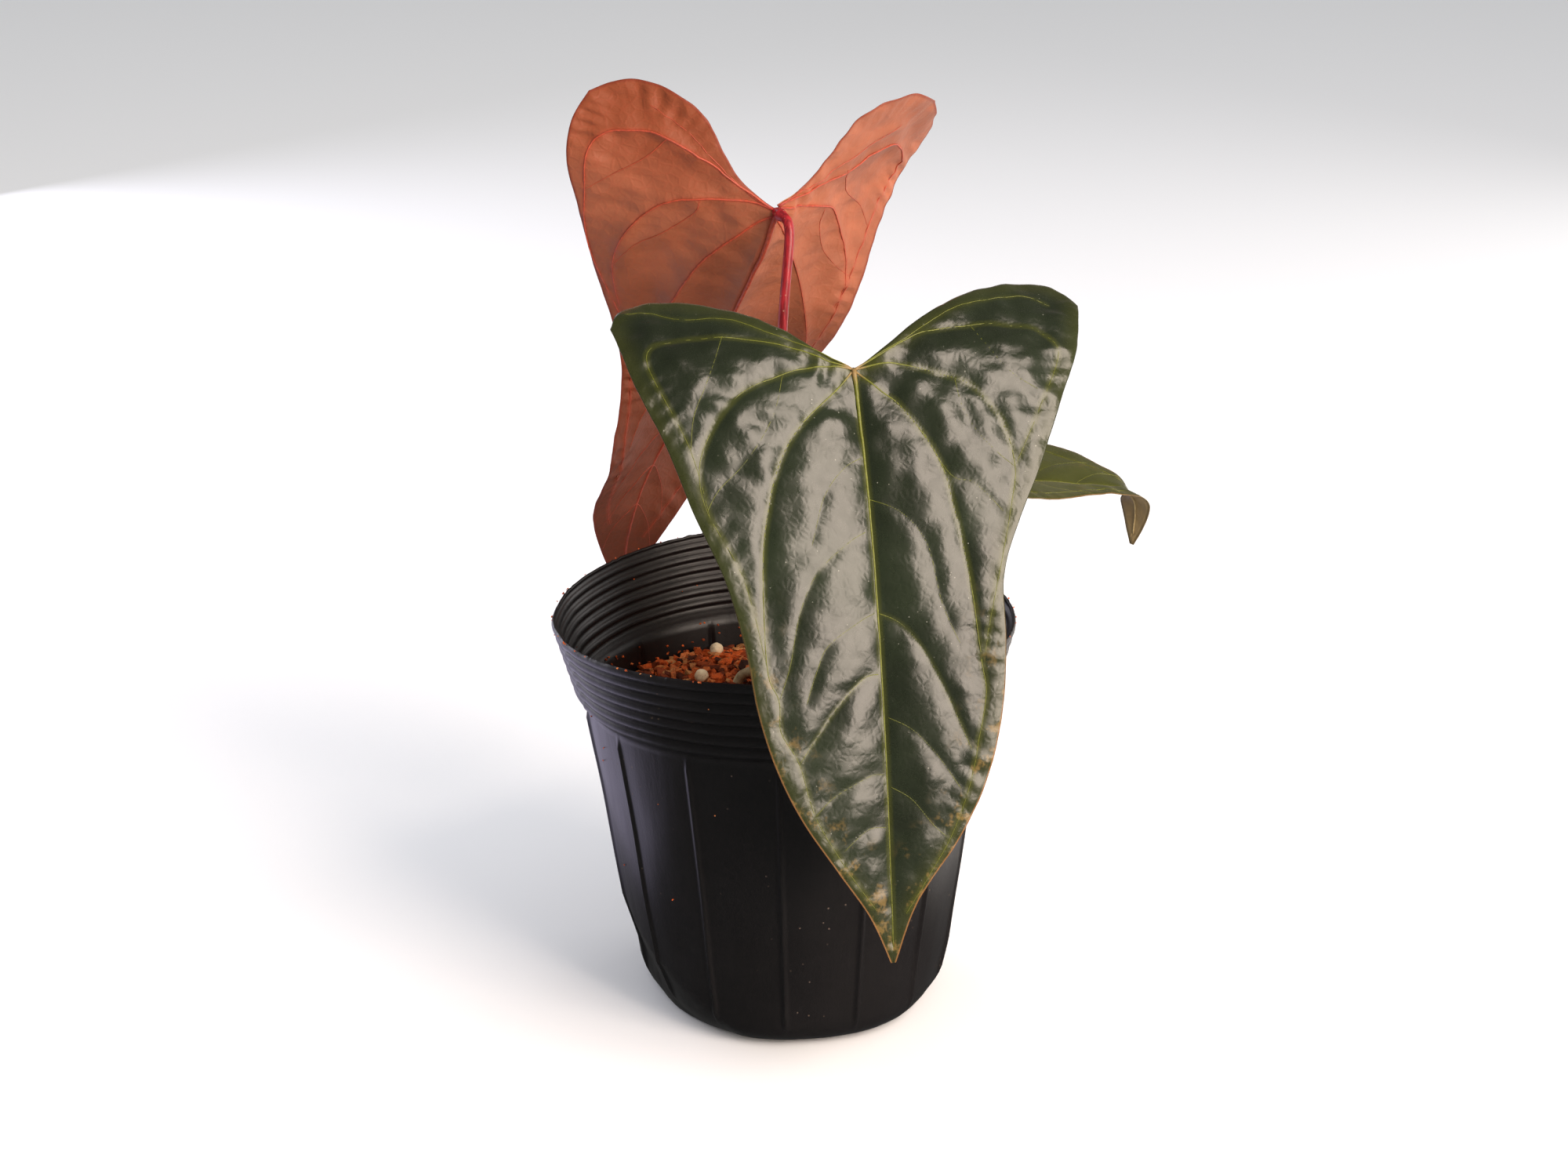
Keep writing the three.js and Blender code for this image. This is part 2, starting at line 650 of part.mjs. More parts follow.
addPiece('front_petiole', makePetiole(LEAVES.front), MATERIALS.greenStalk);
addPiece('back_petiole', makePetiole(LEAVES.back), MATERIALS.redStalk);
addPiece('side_petiole', makePetiole(LEAVES.side), MATERIALS.greenStalk);
addPiece('front_blade', makeBlade(LEAVES.front), MATERIALS.darkBlade);
addPiece('back_blade', makeBlade(LEAVES.back), MATERIALS.bronzeBlade);
addPiece('side_blade', makeBlade(LEAVES.side), MATERIALS.greenBlade);

ROOTS.forEach((root, i) => addPiece(`root_${i + 1}`, makeRoot(root, 0), MATERIALS.root));
SHEATHS.forEach((sheath, i) => addPiece(`sheath_${i + 1}`, makeSheath(sheath), MATERIALS.sheath));
BALLS.forEach((ball, i) => addPiece(`ball_${i + 1}`, makeBall(ball), MATERIALS.ball));
CHIPS.forEach((chip, i) => addPiece(`chip_${i + 1}`, makeChip(chip), MATERIALS.chip));

export default group;
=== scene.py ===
"""A young anthurium with three long heart-shaped leaves in a soft black nursery pot.

Tables are in millimetres and degrees, as the part's source has them. A mesh is shaped in
millimetres and scaled to metres when it is finished.
"""

import math
import random

import bmesh
import bpy
import numpy as np
from bpy.props import FloatProperty, FloatVectorProperty, IntProperty, PointerProperty
from mathutils import Matrix, Quaternion, Vector, noise


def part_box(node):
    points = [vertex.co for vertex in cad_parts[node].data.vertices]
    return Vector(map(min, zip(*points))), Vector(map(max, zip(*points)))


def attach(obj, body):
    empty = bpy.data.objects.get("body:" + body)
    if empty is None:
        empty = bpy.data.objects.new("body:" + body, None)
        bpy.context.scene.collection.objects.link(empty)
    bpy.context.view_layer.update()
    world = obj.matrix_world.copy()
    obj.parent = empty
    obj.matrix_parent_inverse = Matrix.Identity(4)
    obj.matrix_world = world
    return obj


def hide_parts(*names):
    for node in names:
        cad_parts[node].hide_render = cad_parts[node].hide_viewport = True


bl_info = {
    "name": "Potted anthurium",
    "version": (1, 0, 0),
    "blender": (4, 5, 0),
    "location": "3D View > Sidebar > Anthurium",
    "description": "Builds the leaves, pot and potting mix of a young anthurium round its frame",
    "category": "Add Mesh",
}

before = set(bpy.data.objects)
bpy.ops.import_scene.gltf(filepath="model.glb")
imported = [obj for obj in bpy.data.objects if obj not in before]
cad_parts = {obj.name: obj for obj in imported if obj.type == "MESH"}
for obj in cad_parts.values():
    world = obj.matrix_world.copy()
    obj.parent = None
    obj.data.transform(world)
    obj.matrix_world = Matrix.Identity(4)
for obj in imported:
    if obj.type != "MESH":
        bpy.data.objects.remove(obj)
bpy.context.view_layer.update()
MM = 0.001


def node_box(node):
    """A node's lowest and highest corners, in millimetres."""
    return [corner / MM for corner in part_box(node)]


MIX_LOW, MIX_HIGH = node_box("potting_mix")
STEM_LOW, STEM_HIGH = node_box("stem")
MIX_EDGE = MIX_HIGH.y
STEM_MIDDLE = (STEM_LOW + STEM_HIGH) / 2
# The stem stands this deep in the mix, whose surface there is the ground.
STEM_DEPTH = 14
GROUND = STEM_LOW.z + STEM_DEPTH

# The pot's main sizes, which the stray grains and the mix also follow.
POT_HEIGHT = 133
RIM_RADIUS = 75
COLLAR_HEIGHT = 26
COLLAR_FOOT_RADIUS = 68
BODY_TOP_RADIUS = 65.3
BASE_RADIUS = 50.4
BASE_SHIFT = 2.5
RIM_SADDLE = 2.2
LEDGE_DROP = 1.4
COLLAR_FOOT = POT_HEIGHT - COLLAR_HEIGHT
BODY_TOP = COLLAR_FOOT - LEDGE_DROP


# ------------------------------------------------------------------ sizes and colours

def length(name, description, millimetres):
    """A length that the panel shows in the scene's units."""
    return FloatProperty(
        name=name, description=description, default=millimetres * MM,
        unit="LENGTH", subtype="DISTANCE", precision=4,
    )


def colour(name, description, red, green, blue):
    """A colour swatch, given as the 0 to 255 values that a paint chart would list."""
    linear = [to_linear(part / 255) for part in (red, green, blue)]
    return FloatVectorProperty(
        name=name, description=description, default=linear, subtype="COLOR", size=3, min=0, max=1,
    )


def to_linear(value):
    """A colour channel from its display value, 0 to 1, to its linear one."""
    return value / 12.92 if value <= 0.04045 else ((value + 0.055) / 1.055) ** 2.4


class PotSettings(bpy.types.PropertyGroup):
    """Sizes and colour of the soft pot."""
    height: length("Height", "Floor to lip", POT_HEIGHT)
    rim_radius: length("Rim radius", "Outside radius at the lip", RIM_RADIUS)
    collar_height: length("Collar height", "Height of the ribbed collar", COLLAR_HEIGHT)
    collar_foot_radius: length("Collar foot radius", "Outside radius where the collar starts",
                               COLLAR_FOOT_RADIUS)
    collar_rib_depth: length("Collar rib depth", "How far the collar's ribs stand out", 1.1)
    body_top_radius: length("Body top radius", "Outside radius below the ledge", BODY_TOP_RADIUS)
    base_radius: length("Base radius", "Radius of the body carried down to the floor", BASE_RADIUS)
    base_fillet: length("Base rounding", "Radius of the base's edge", 8)
    wall: length("Wall", "Thickness of the plastic", 0.8)
    base_shift: length("Base shift", "How far the base sits to one side of the rim", BASE_SHIFT)
    rim_saddle: length("Rim saddle", "How far the rim dips at the sides", RIM_SADDLE)
    drain_radius: length("Drain hole radius", "Radius of each drainage hole", 4)
    drain_ring: length("Drain ring radius", "Distance of the drainage holes from the middle", 34)
    collar_ribs: IntProperty(name="Collar ribs", description="Ribs round the collar", default=7)
    upright_ribs: IntProperty(name="Upright ribs", description="Ribs up the body", default=14)
    plastic: colour("Plastic", "Colour of the pot", 20, 18, 19)


class LeafSettings(bpy.types.PropertyGroup):
    """Sizes and colours of the three leaves."""
    thickness: length("Blade thickness", "Thickness of a blade", 0.55)
    quilting: length("Quilting", "How far the panels swell between the veins", 2.2)
    petiole_radius: length("Stalk radius", "Radius of a leaf stalk", 1.65)
    dark: colour("Dark leaf", "Upper side of the largest blade", 27, 34, 21)
    dark_vein: colour("Dark leaf veins", "Veins of the largest blade", 134, 140, 40)
    bronze: colour("Copper underside", "Underside of the newest blade", 150, 88, 62)
    bronze_vein: colour("Copper veins", "Veins of the newest blade", 158, 62, 38)
    green: colour("Green leaf", "Upper side of the small blade", 58, 62, 26)
    stalk_red: colour("Red stalk", "Stalk of the newest blade", 130, 20, 28)
    stalk_green: colour("Green stalk", "Stalks of the older blades", 92, 96, 44)


class MixSettings(bpy.types.PropertyGroup):
    """The potting mix and what lies on it."""
    bits: IntProperty(name="Bits", description="Small chips on the mix", default=2600)
    fibres: IntProperty(name="Fibres", description="Coir fibres on the mix", default=420)
    ball_radius: length("Ball radius", "Radius of the cream balls", 2.3)
    bark: colour("Bark", "Fresh bark and coco chips", 220, 94, 26)
    peat: colour("Peat", "Dark matter between the chips", 42, 20, 10)
    clay: colour("Balls", "Cream balls on the mix", 244, 224, 186)


class StageSettings(bpy.types.PropertyGroup):
    """The floor, the lamps and the camera."""
    camera_distance: length("Camera distance", "Camera to the middle of the pot", 900)
    lens: FloatProperty(name="Lens", description="Focal length, in millimetres", default=64.15)
    floor: colour("Floor", "Colour of the floor", 247, 249, 252)


# ------------------------------------------------------------------ materials

class Socket:
    """A node's output. Python's operators on it add the Math nodes."""

    def __init__(self, finish, socket):
        self.finish = finish
        self.socket = socket

    def maths(self, operation, *values):
        return self.finish.add("Math", {"operation": operation}, dict(enumerate(values)))

    def __add__(self, other):
        return self.maths("ADD", self, other)

    def __sub__(self, other):
        return self.maths("SUBTRACT", self, other)

    def __rsub__(self, other):
        return self.maths("SUBTRACT", other, self)

    def __mul__(self, other):
        return self.maths("MULTIPLY", self, other)

    __radd__ = __add__
    __rmul__ = __mul__


# The Mix node's own numbers for the sockets that a colour mix uses.
MIX_SHARE, MIX_FIRST, MIX_SECOND, MIX_RESULT = 0, 6, 7, 2


def opaque(value):
    """A colour with its alpha, or a socket as it is."""
    return value if isinstance(value, Socket) else (*value, 1)[:4]


class Finish:
    """One material and the few kinds of node that it is made from."""

    def __init__(self, name):
        self.material = bpy.data.materials.new(name)
        self.material.use_nodes = True
        self.tree = self.material.node_tree
        self.tree.nodes.clear()

    def add(self, kind, settings=None, inputs=None, output=0):
        """Adds a node: its settings first, then the values or links of its sockets."""
        node = self.tree.nodes.new("ShaderNode" + kind)
        for key, value in (settings or {}).items():
            setattr(node, key, value)
        for key, value in (inputs or {}).items():
            if isinstance(value, Socket):
                self.tree.links.new(value.socket, node.inputs[key])
            else:
                node.inputs[key].default_value = value
        return Socket(self, node.outputs[output]) if node.outputs else None

    def place(self):
        """Object coordinates, in metres."""
        return self.add("TexCoord", output="Object")

    def attribute(self, name, output="Fac"):
        return self.add("Attribute", {"attribute_name": name}, output=output)

    def blade_fields(self):
        """What a blade stores: flat place, closeness to a vein, way to the margin, way down."""
        return (self.attribute("flat", "Vector"),
                *(self.attribute(name) for name in ("vein", "rim", "tip")))

    def stretched(self, vector, scale):
        return self.add("Mapping", inputs={"Vector": vector, "Scale": scale})

    def noise(self, vector, scale, detail=3.0, rough=0.55):
        inputs = {"Vector": vector, "Scale": scale, "Detail": detail, "Roughness": rough}
        return self.add("TexNoise", inputs=inputs)

    def cracks(self, vector, scale):
        """Distance to the walls of a random cell pattern."""
        return self.add("TexVoronoi", {"feature": "DISTANCE_TO_EDGE"},
                        {"Vector": vector, "Scale": scale})

    def spots(self, vector, scale):
        """Distance to the middle of the nearest random cell."""
        return self.add("TexVoronoi", {"feature": "F1"}, {"Vector": vector, "Scale": scale})

    def band(self, value, low, high):
        """0 below low, 1 above high, and smooth between. Low may be the larger."""
        start, end = min(low, high), max(low, high)
        smooth = self.add("MapRange", {"interpolation_type": "SMOOTHSTEP"},
                          {"Value": value, "From Min": start, "From Max": end})
        return smooth if high >= low else 1 - smooth

    def mix(self, share, first, second):
        """Goes from the first colour to the second."""
        inputs = {MIX_SHARE: share, MIX_FIRST: opaque(first), MIX_SECOND: opaque(second)}
        return self.add("Mix", {"data_type": "RGBA"}, inputs, output=MIX_RESULT)

    def surface(self, base, rough, height=None, depth=0.0, extra=None):
        """Finishes the material. Height is a pattern that stands depth metres proud."""
        inputs = {"Base Color": opaque(base), "Roughness": rough, **(extra or {})}
        if height is not None:
            inputs["Normal"] = self.add("Bump", inputs={"Height": height, "Distance": depth})
        return self.shown_as(self.add("BsdfPrincipled", inputs=inputs))

    def shown_as(self, shader):
        """Gives the material its shader, and hands it over."""
        self.add("OutputMaterial", inputs={"Surface": shader})
        return self.material


# Fixed linear colours that no setting carries.
POT_DUST = (0.16, 0.11, 0.08)
FLECK_TAN = (0.19, 0.12, 0.03)
SPECK_GREY = (0.4, 0.4, 0.34)
SHEEN_TINT = (0.75, 0.68, 0.6)
RUST = (0.22, 0.10, 0.03)
TAN = (0.20, 0.15, 0.075)
STALK_DOTS = (0.62, 0.5, 0.32)
FRESH_BARK = (0.62, 0.27, 0.09)
BALL_STAIN = (0.62, 0.36, 0.16)
BALL_PITS = (0.4, 0.25, 0.13)


def shade(base, factor):
    """A lighter or darker colour."""
    return tuple(min(1, part * factor) for part in base)


def pot_plastic(settings):
    """Soft black plastic: fine upright streaks, dull patches, dust and a few grains of mix."""
    f = Finish("soft black plastic")
    place = f.place()
    streaks = f.noise(f.stretched(place, (260, 260, 9)), 1, 4)
    patches = f.noise(place, 28, 4)
    grain = f.noise(place, 1500, 2)
    dust = f.band(f.spots(place, 260), 0.11, 0.05) * f.band(f.noise(place, 60), 0.52, 0.62)
    warm = f.mix(f.band(patches, 0.35, 0.7), shade(settings.plastic, 0.75), settings.plastic)
    base = f.mix(dust * 0.55, warm, POT_DUST)
    rough = 0.27 + 0.14 * patches + 0.10 * streaks + 0.3 * dust
    height = 0.5 * streaks + 0.3 * patches + 0.2 * grain
    return f.surface(base, rough, height, 0.0002, {"Specular IOR Level": 0.45})


def leaf_upper(name, base, vein, edge, sheen, wear=0.65):
    """Leathery upper side: mossy near the veins, mottled and netted, with pale specks.

    Wear is the share of tan in the flecks near the tip's margin.
    """
    f = Finish(name)
    flat, near_vein, rim, tip = f.blade_fields()
    cells = f.noise(flat, 260, 3)
    net = f.cracks(flat, 420)
    cloud = f.noise(flat, 24, 4)
    fine = f.noise(flat, 900, 2)
    mottled = f.mix(f.band(cloud, 0.3, 0.72), shade(base, 0.72), shade(base, 1.35))
    mossy = f.mix(f.band(near_vein, 0.3, 1.0) * 0.3, mottled, shade(vein, 0.32))
    edged = f.mix(f.band(rim, 0.008, 0.0) * 0.3, mossy, shade(vein, 0.2))
    fleck = f.band(f.noise(flat, 130, 4, 0.7), 0.54, 0.66)
    worn = f.band(rim, 0.017, 0.003) * f.band(tip, 0.3, 0.7) * fleck
    tanned = f.mix(worn * wear, edged, FLECK_TAN)
    lip = f.mix(f.band(rim, 0.0006, 0.0002) * f.band(tip, 0.35, 0.7) * 0.8, tanned, edge)
    dots = f.band(f.spots(flat, 330), 0.075, 0.045) * f.band(f.noise(flat, 45), 0.42, 0.6)
    base_colour = f.mix(dots * 0.45, lip, SPECK_GREY)
    rough = 0.17 + 0.14 * cells + 0.08 * cloud
    height = f.band(net, 0.0, 0.35) * 0.45 + 0.35 * cells + 0.2 * fine
    return f.surface(base_colour, rough, height, 0.00006,
                     {"Specular IOR Level": 0.5, "Sheen Weight": sheen, "Sheen Roughness": 0.4,
                      "Sheen Tint": (*SHEEN_TINT, 1)})


def leaf_under(name, base, vein, painted_tone):
    """Matt underside: cloudy and finely netted, with painted shade on the right half, on that
    half's lobe and towards the tip. The last colour is the painted tone: darker than the base on
    the dark and copper leaves, and lighter on the green leaf, where it paints light on the tip.
    """
    f = Finish(name)
    flat, near_vein, rim, tip = f.blade_fields()
    cloud = f.noise(flat, 30, 5, 0.65)
    fibre = f.noise(flat, 700, 3)
    net = f.cracks(flat, 300)
    clouded = f.mix(f.band(cloud, 0.28, 0.72), shade(base, 0.74), shade(base, 1.22))
    along, across = (f.add("SeparateXYZ", inputs={"Vector": flat}, output=axis) for axis in "XY")
    # Painted shade: the right half takes the painted tone, more on its lobe, and most at the lobe's
    # outer end. On the green leaf the tone is lighter, so the same masks paint light there.
    shaded = f.band(across, -0.004, 0.012) * (0.35 + 0.45 * f.band(along, 0.006, -0.028))
    lobe = f.band(across, 0.008, 0.036) * f.band(along, 0.02, -0.01)
    half_painted = f.mix(lobe * 0.75, f.mix(shaded, clouded, painted_tone), shade(painted_tone, 1.3))
    # Painted shade towards the tip. On the green leaf the painted tone is lighter than tan, so this
    # paints light on its folded tip, which faces away from the lamps.
    tip_painted = f.mix(f.band(tip, 0.12, 0.6) * 0.9, half_painted, shade(painted_tone, 0.85))
    netted = f.mix(f.band(net, 0.10, 0.0) * 0.1, tip_painted, vein)
    veined = f.mix(f.band(near_vein, 0.5, 1.0) * 0.35, netted, vein)
    base_colour = f.mix(f.band(rim, 0.0012, 0.0003) * 0.7, veined, shade(vein, 0.5))
    rough = 0.44 + 0.14 * fibre + 0.1 * cloud
    height = f.band(net, 0.0, 0.2) * -0.25 + 0.6 * fibre
    return f.surface(base_colour, rough, height, 0.00018, {"Specular IOR Level": 0.3})


def vein_finish(name, base, centre):
    """A vein: the colour of the base, paler towards the joint."""
    f = Finish(name)
    near = f.attribute("tone")
    mottle = f.noise(f.place(), 900, 3)
    toned = f.mix(f.band(mottle, 0.3, 0.7), shade(base, 0.8), shade(base, 1.2))
    base_colour = f.mix(f.band(near, 0.006, 0.001) * 0.6, toned, centre)
    return f.surface(base_colour, 0.42 + 0.1 * mottle, mottle, 0.00008)


def stalk_finish(name, base, tint):
    """A smooth stalk with fine lengthwise streaks and small pale dots."""
    f = Finish(name)
    place = f.place()
    streaks = f.noise(f.stretched(place, (900, 900, 22)), 1, 4)
    dots = f.band(f.spots(place, 520), 0.16, 0.08)
    streaked = f.mix(f.band(streaks, 0.35, 0.68), shade(base, 0.7), tint)
    base_colour = f.mix(dots * 0.3, streaked, STALK_DOTS)
    return f.surface(base_colour, 0.32 + 0.16 * streaks, streaks, 0.00012)


def fibrous_finish(name, base, dark, scale=(420, 420, 60), rough=0.8):
    """Dry plant matter with fibres along it."""
    f = Finish(name)
    place = f.place()
    fibres = f.noise(f.stretched(place, scale), 1, 5, 0.7)
    cloud = f.noise(place, 130, 3)
    toned = f.mix(f.band(fibres, 0.3, 0.7), dark, base)
    base_colour = f.mix(f.band(cloud, 0.4, 0.75) * 0.4, toned, shade(dark, 0.7))
    return f.surface(base_colour, rough + 0.12 * fibres, fibres, 0.0004)


def mix_finish(settings):
    """The fine dark matter between the chips."""
    f = Finish("fine potting mix")
    place = f.place()
    lumps = f.noise(place, 420, 5, 0.7)
    patches = f.noise(place, 90, 4)
    toned = f.mix(f.band(lumps, 0.38, 0.66), shade(settings.peat, 0.6), shade(settings.bark, 0.5))
    base_colour = f.mix(f.band(patches, 0.45, 0.7) * 0.6, toned, settings.peat)
    return f.surface(base_colour, 0.82 + 0.12 * lumps, lumps, 0.0012)


def bark_finish(settings):
    """Bark and coco chips, each with a tone of its own."""
    f = Finish("bark chips")
    place = f.place()
    tone = f.attribute("tone")
    fibres = f.noise(f.stretched(place, (900, 900, 300)), 1, 4, 0.7)
    light = f.mix(f.band(tone, 0.0, 0.55), settings.peat, settings.bark)
    bright = f.mix(f.band(tone, 0.6, 1.0), light, FRESH_BARK)
    base_colour = f.mix(f.band(fibres, 0.42, 0.7) * 0.5, bright, shade(settings.peat, 1.2))
    return f.surface(base_colour, 0.7 + 0.2 * fibres, fibres, 0.0005)


def ball_finish(settings):
    """Cream balls: faintly mottled, stained in patches and finely pitted."""
    f = Finish("cream balls")
    place = f.place()
    mottle = f.noise(place, 420, 4)
    pits = f.band(f.spots(place, 900), 0.3, 0.1)
    stained = f.mix(f.band(mottle, 0.45, 0.72) * 0.6, settings.clay, BALL_STAIN)
    base_colour = f.mix(pits * 0.4, stained, BALL_PITS)
    return f.surface(base_colour, 0.5 + 0.2 * mottle, mottle - 0.5 * pits, 0.0003)


# ------------------------------------------------------------------ mesh helpers

BATCH = 40
MERGE_DISTANCE = 1e-4


def add_object(name, bm, materials):
    """Links a new object made from a bmesh."""
    mesh = bpy.data.meshes.new(name)
    bm.to_mesh(mesh)
    bm.free()
    for material in materials:
        mesh.materials.append(material)
    item = bpy.data.objects.new(name, mesh)
    bpy.context.scene.collection.objects.link(item)
    return item


def finish_piece(name, bm, materials, nodes=(), smooth=True):
    """Turns a bmesh in millimetres into a piece of the object, in metres."""
    bmesh.ops.scale(bm, vec=(MM, MM, MM), verts=bm.verts)
    piece = add_object(name, bm, materials)
    if smooth:
        piece.data.shade_smooth()
    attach(piece, "root")
    if nodes:
        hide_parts(*nodes)
    return piece


def turned(rows, steps, start=0.0):
    """A profile of [radius, z] rows, turned round Z from the start angle."""
    bm = bmesh.new()
    verts = [bm.verts.new((radius, 0, z)) for radius, z in rows]
    edges = [bm.edges.new(pair) for pair in zip(verts, verts[1:])]
    bmesh.ops.spin(bm, geom=verts + edges, axis=(0, 0, 1), cent=(0, 0, 0), angle=2 * math.pi,
                   steps=steps, use_merge=True)
    bmesh.ops.rotate(bm, verts=bm.verts, matrix=Matrix.Rotation(start, 3, "Z"))
    bmesh.ops.remove_doubles(bm, verts=bm.verts, dist=MERGE_DISTANCE)
    bmesh.ops.recalc_face_normals(bm, faces=bm.faces)
    return bm


def thick_sheet(columns, rows):
    """A unit square in two layers: the upper side at z 0 and the lower one at -1, walled round."""
    bm = bmesh.new()
    bmesh.ops.create_grid(bm, x_segments=columns, y_segments=rows, size=0.5)
    lower = bmesh.ops.extrude_face_region(bm, geom=bm.faces[:])["geom"]
    lower = [item for item in lower if isinstance(item, bmesh.types.BMVert)]
    bmesh.ops.translate(bm, verts=lower, vec=(0, 0, -1))
    bmesh.ops.recalc_face_normals(bm, faces=bm.faces)
    return bm


def gather(bm, count, add_one, batch_size=BATCH):
    """Makes many small pieces in batches, because an operator slows on a large bmesh."""
    for start in range(0, count, batch_size):
        part = bmesh.new()
        tone = part.verts.layers.float.new("tone")
        for index in range(start, min(start + batch_size, count)):
            add_one(part, tone, index)
        batch = bpy.data.meshes.new("batch")
        part.to_mesh(batch)
        part.free()
        bm.from_mesh(batch)
        bpy.data.meshes.remove(batch)


def turn_frames(points):
    """A frame at each point whose Z runs along the path and whose X never twists."""
    frames = []
    ahead = (points[1] - points[0]).normalized()
    turn = ahead.to_track_quat("Z", "Y")
    for k, point in enumerate(points):
        last = points[max(k - 1, 0)]
        following = points[min(k + 1, len(points) - 1)]
        heading = (following - last).normalized()
        turn = ahead.rotation_difference(heading) @ turn
        ahead = heading
        frames.append(Matrix.Translation(point) @ turn.to_matrix().to_4x4())
    return frames


def sweep(bm, points, radii, sides, layer=None, values=None):
    """A closed round bar along the points: each ring is extruded from the one before.

    Where a layer is given, each ring's vertices get its value there.
    """
    frames = turn_frames(points)
    ring = bmesh.ops.create_circle(bm, cap_ends=True, radius=radii[0], segments=sides,
                                   matrix=frames[0])["verts"]
    edges = list({edge for vert in ring for edge in vert.link_edges})
    if layer:
        for vert in ring:
            vert[layer] = values[0]
    for k in range(1, len(points)):
        grown = bmesh.ops.extrude_edge_only(bm, edges=edges)["geom"]
        ring = [item for item in grown if isinstance(item, bmesh.types.BMVert)]
        edges = [item for item in grown if isinstance(item, bmesh.types.BMEdge)]
        ratio = radii[k] / radii[k - 1]
        scale = Matrix.Diagonal((ratio, ratio, 1, 1))
        bmesh.ops.transform(bm, matrix=frames[k] @ scale @ frames[k - 1].inverted(), verts=ring)
        if layer:
            for vert in ring:
                vert[layer] = values[k]
    bmesh.ops.contextual_create(bm, geom=edges)


def curve_through(points, steps):
    """Evenly numbered points along a smooth curve through the given ones (lists of numbers)."""
    last = len(points) - 1
    rows = np.array(points, float)
    found = []
    for share in np.linspace(0, last, steps):
        k = min(int(share), last - 1)
        u = share - k
        before, start, end, after = rows[np.clip([k - 1, k, k + 1, k + 2], 0, last)]
        enter, leave = (end - before) / 2, (after - start) / 2
        found.append((2 * start - 2 * end + enter + leave) * u ** 3
                     + (3 * end - 3 * start - 2 * enter - leave) * u ** 2 + enter * u + start)
    return np.array(found)


def smoothstep(value, low, high):
    """0 at low and 1 at high, smooth between, for an array."""
    u = np.clip((value - low) / (high - low), 0, 1)
    return u * u * (3 - 2 * u)


def ease(value, low, high):
    """The same for a single number, which is quicker."""
    u = min(1.0, max(0.0, (value - low) / (high - low)))
    return u * u * (3 - 2 * u)


def rough_noise(x, y, z=0.0):
    """Smooth random bumps between about -1 and 1."""
    return noise.noise(Vector((x, y, z)))


# ------------------------------------------------------------------ pot

# Columns for each upright rib's share of the circle; they crowd together at the rib.
COLUMNS_PER_RIB = 28
RIB_CROWDING = 0.22
RIB_HALF_WIDTH = 1.3
RIB_HEIGHT = 0.9
FIRST_RIB_ANGLE = math.radians(-92)
SEAM_ANGLE = math.radians(-158)
SEAM_HEIGHT, SEAM_HALF_WIDTH = 0.3, 1.1
TICK_HEIGHT, TICK_HALF_WIDTH = 0.35, 1.6
SAG, WAVER = 0.45, 0.35
LIP_BAND = 1.6
LIP_RAGGEDNESS = 0.3
LIP_SPREAD = 0.25
LEDGE_STANDOUT = 0.9
BASE_RINGS = (0, 15, 27, 30, 32, 34, 36, 38)
FILLET_TURNS = (0, 20, 40, 60, 75, 90)
BODY_ROWS = 36
ROWS_PER_COLLAR_RIB = 8
DRAIN_HOLES = 8
# The dent in the base, in millimetres round the wall from its middle and up from the floor.
DENT_ANGLE = math.radians(-156)
DENT_DEPTH = 4.2
DENT_REACH = 18
CREASE_HEIGHT, CREASE_FALL = 29, 0.55
KINK_DEPTH, KINK_ARC, KINK_Z = 0.7, 27, 33
RIDGE_HEIGHT, RIDGE_WIDTH = 0.3, 1.6
FLAT_ANGLE = math.radians(-22)
FLAT_DEPTH, FLAT_WIDTH = 1.6, 13
LOW_WALL_RADIUS = 52


def pot_profile(pot):
    """Outside of the pot from the middle of the base to the lip, as [radius, z]."""
    top = pot.height - pot.collar_height
    body_top = top - LEDGE_DROP
    slope = (pot.body_top_radius - pot.base_radius) / body_top
    rows = [[radius, 0] for radius in BASE_RINGS]
    for turn in np.radians(FILLET_TURNS):
        z = pot.base_fillet * (1 - math.cos(turn))
        rows.append([pot.base_radius + slope * z - pot.base_fillet * (1 - math.sin(turn)), z])
    for z in np.linspace(pot.base_fillet, body_top, BODY_ROWS)[1:]:
        rows.append([pot.base_radius + slope * z, z])
    rows.append([pot.body_top_radius + LEDGE_STANDOUT, body_top + LEDGE_DROP / 4])
    lean = (pot.rim_radius - pot.collar_foot_radius) / pot.collar_height
    pitch = pot.collar_height / pot.collar_ribs
    for z in np.linspace(0, pot.collar_height, pot.collar_ribs * ROWS_PER_COLLAR_RIB + 1):
        swell = pot.collar_rib_depth * abs(math.sin(math.pi * z / pitch)) ** 0.7
        rows.append([pot.collar_foot_radius + lean * z - pot.collar_rib_depth + swell, top + z])
    return rows


def rib_closeness(angle, ribs):
    """How far an angle lies from the nearest upright rib, in radians."""
    pitch = 2 * math.pi / ribs
    return (angle - FIRST_RIB_ANGLE + pitch / 2) % pitch - pitch / 2


def arc_from(angle, middle):
    """Millimetres round the low wall from one angle to another, the shorter way."""
    return LOW_WALL_RADIUS * ((angle - middle + math.pi) % (2 * math.pi) - math.pi)


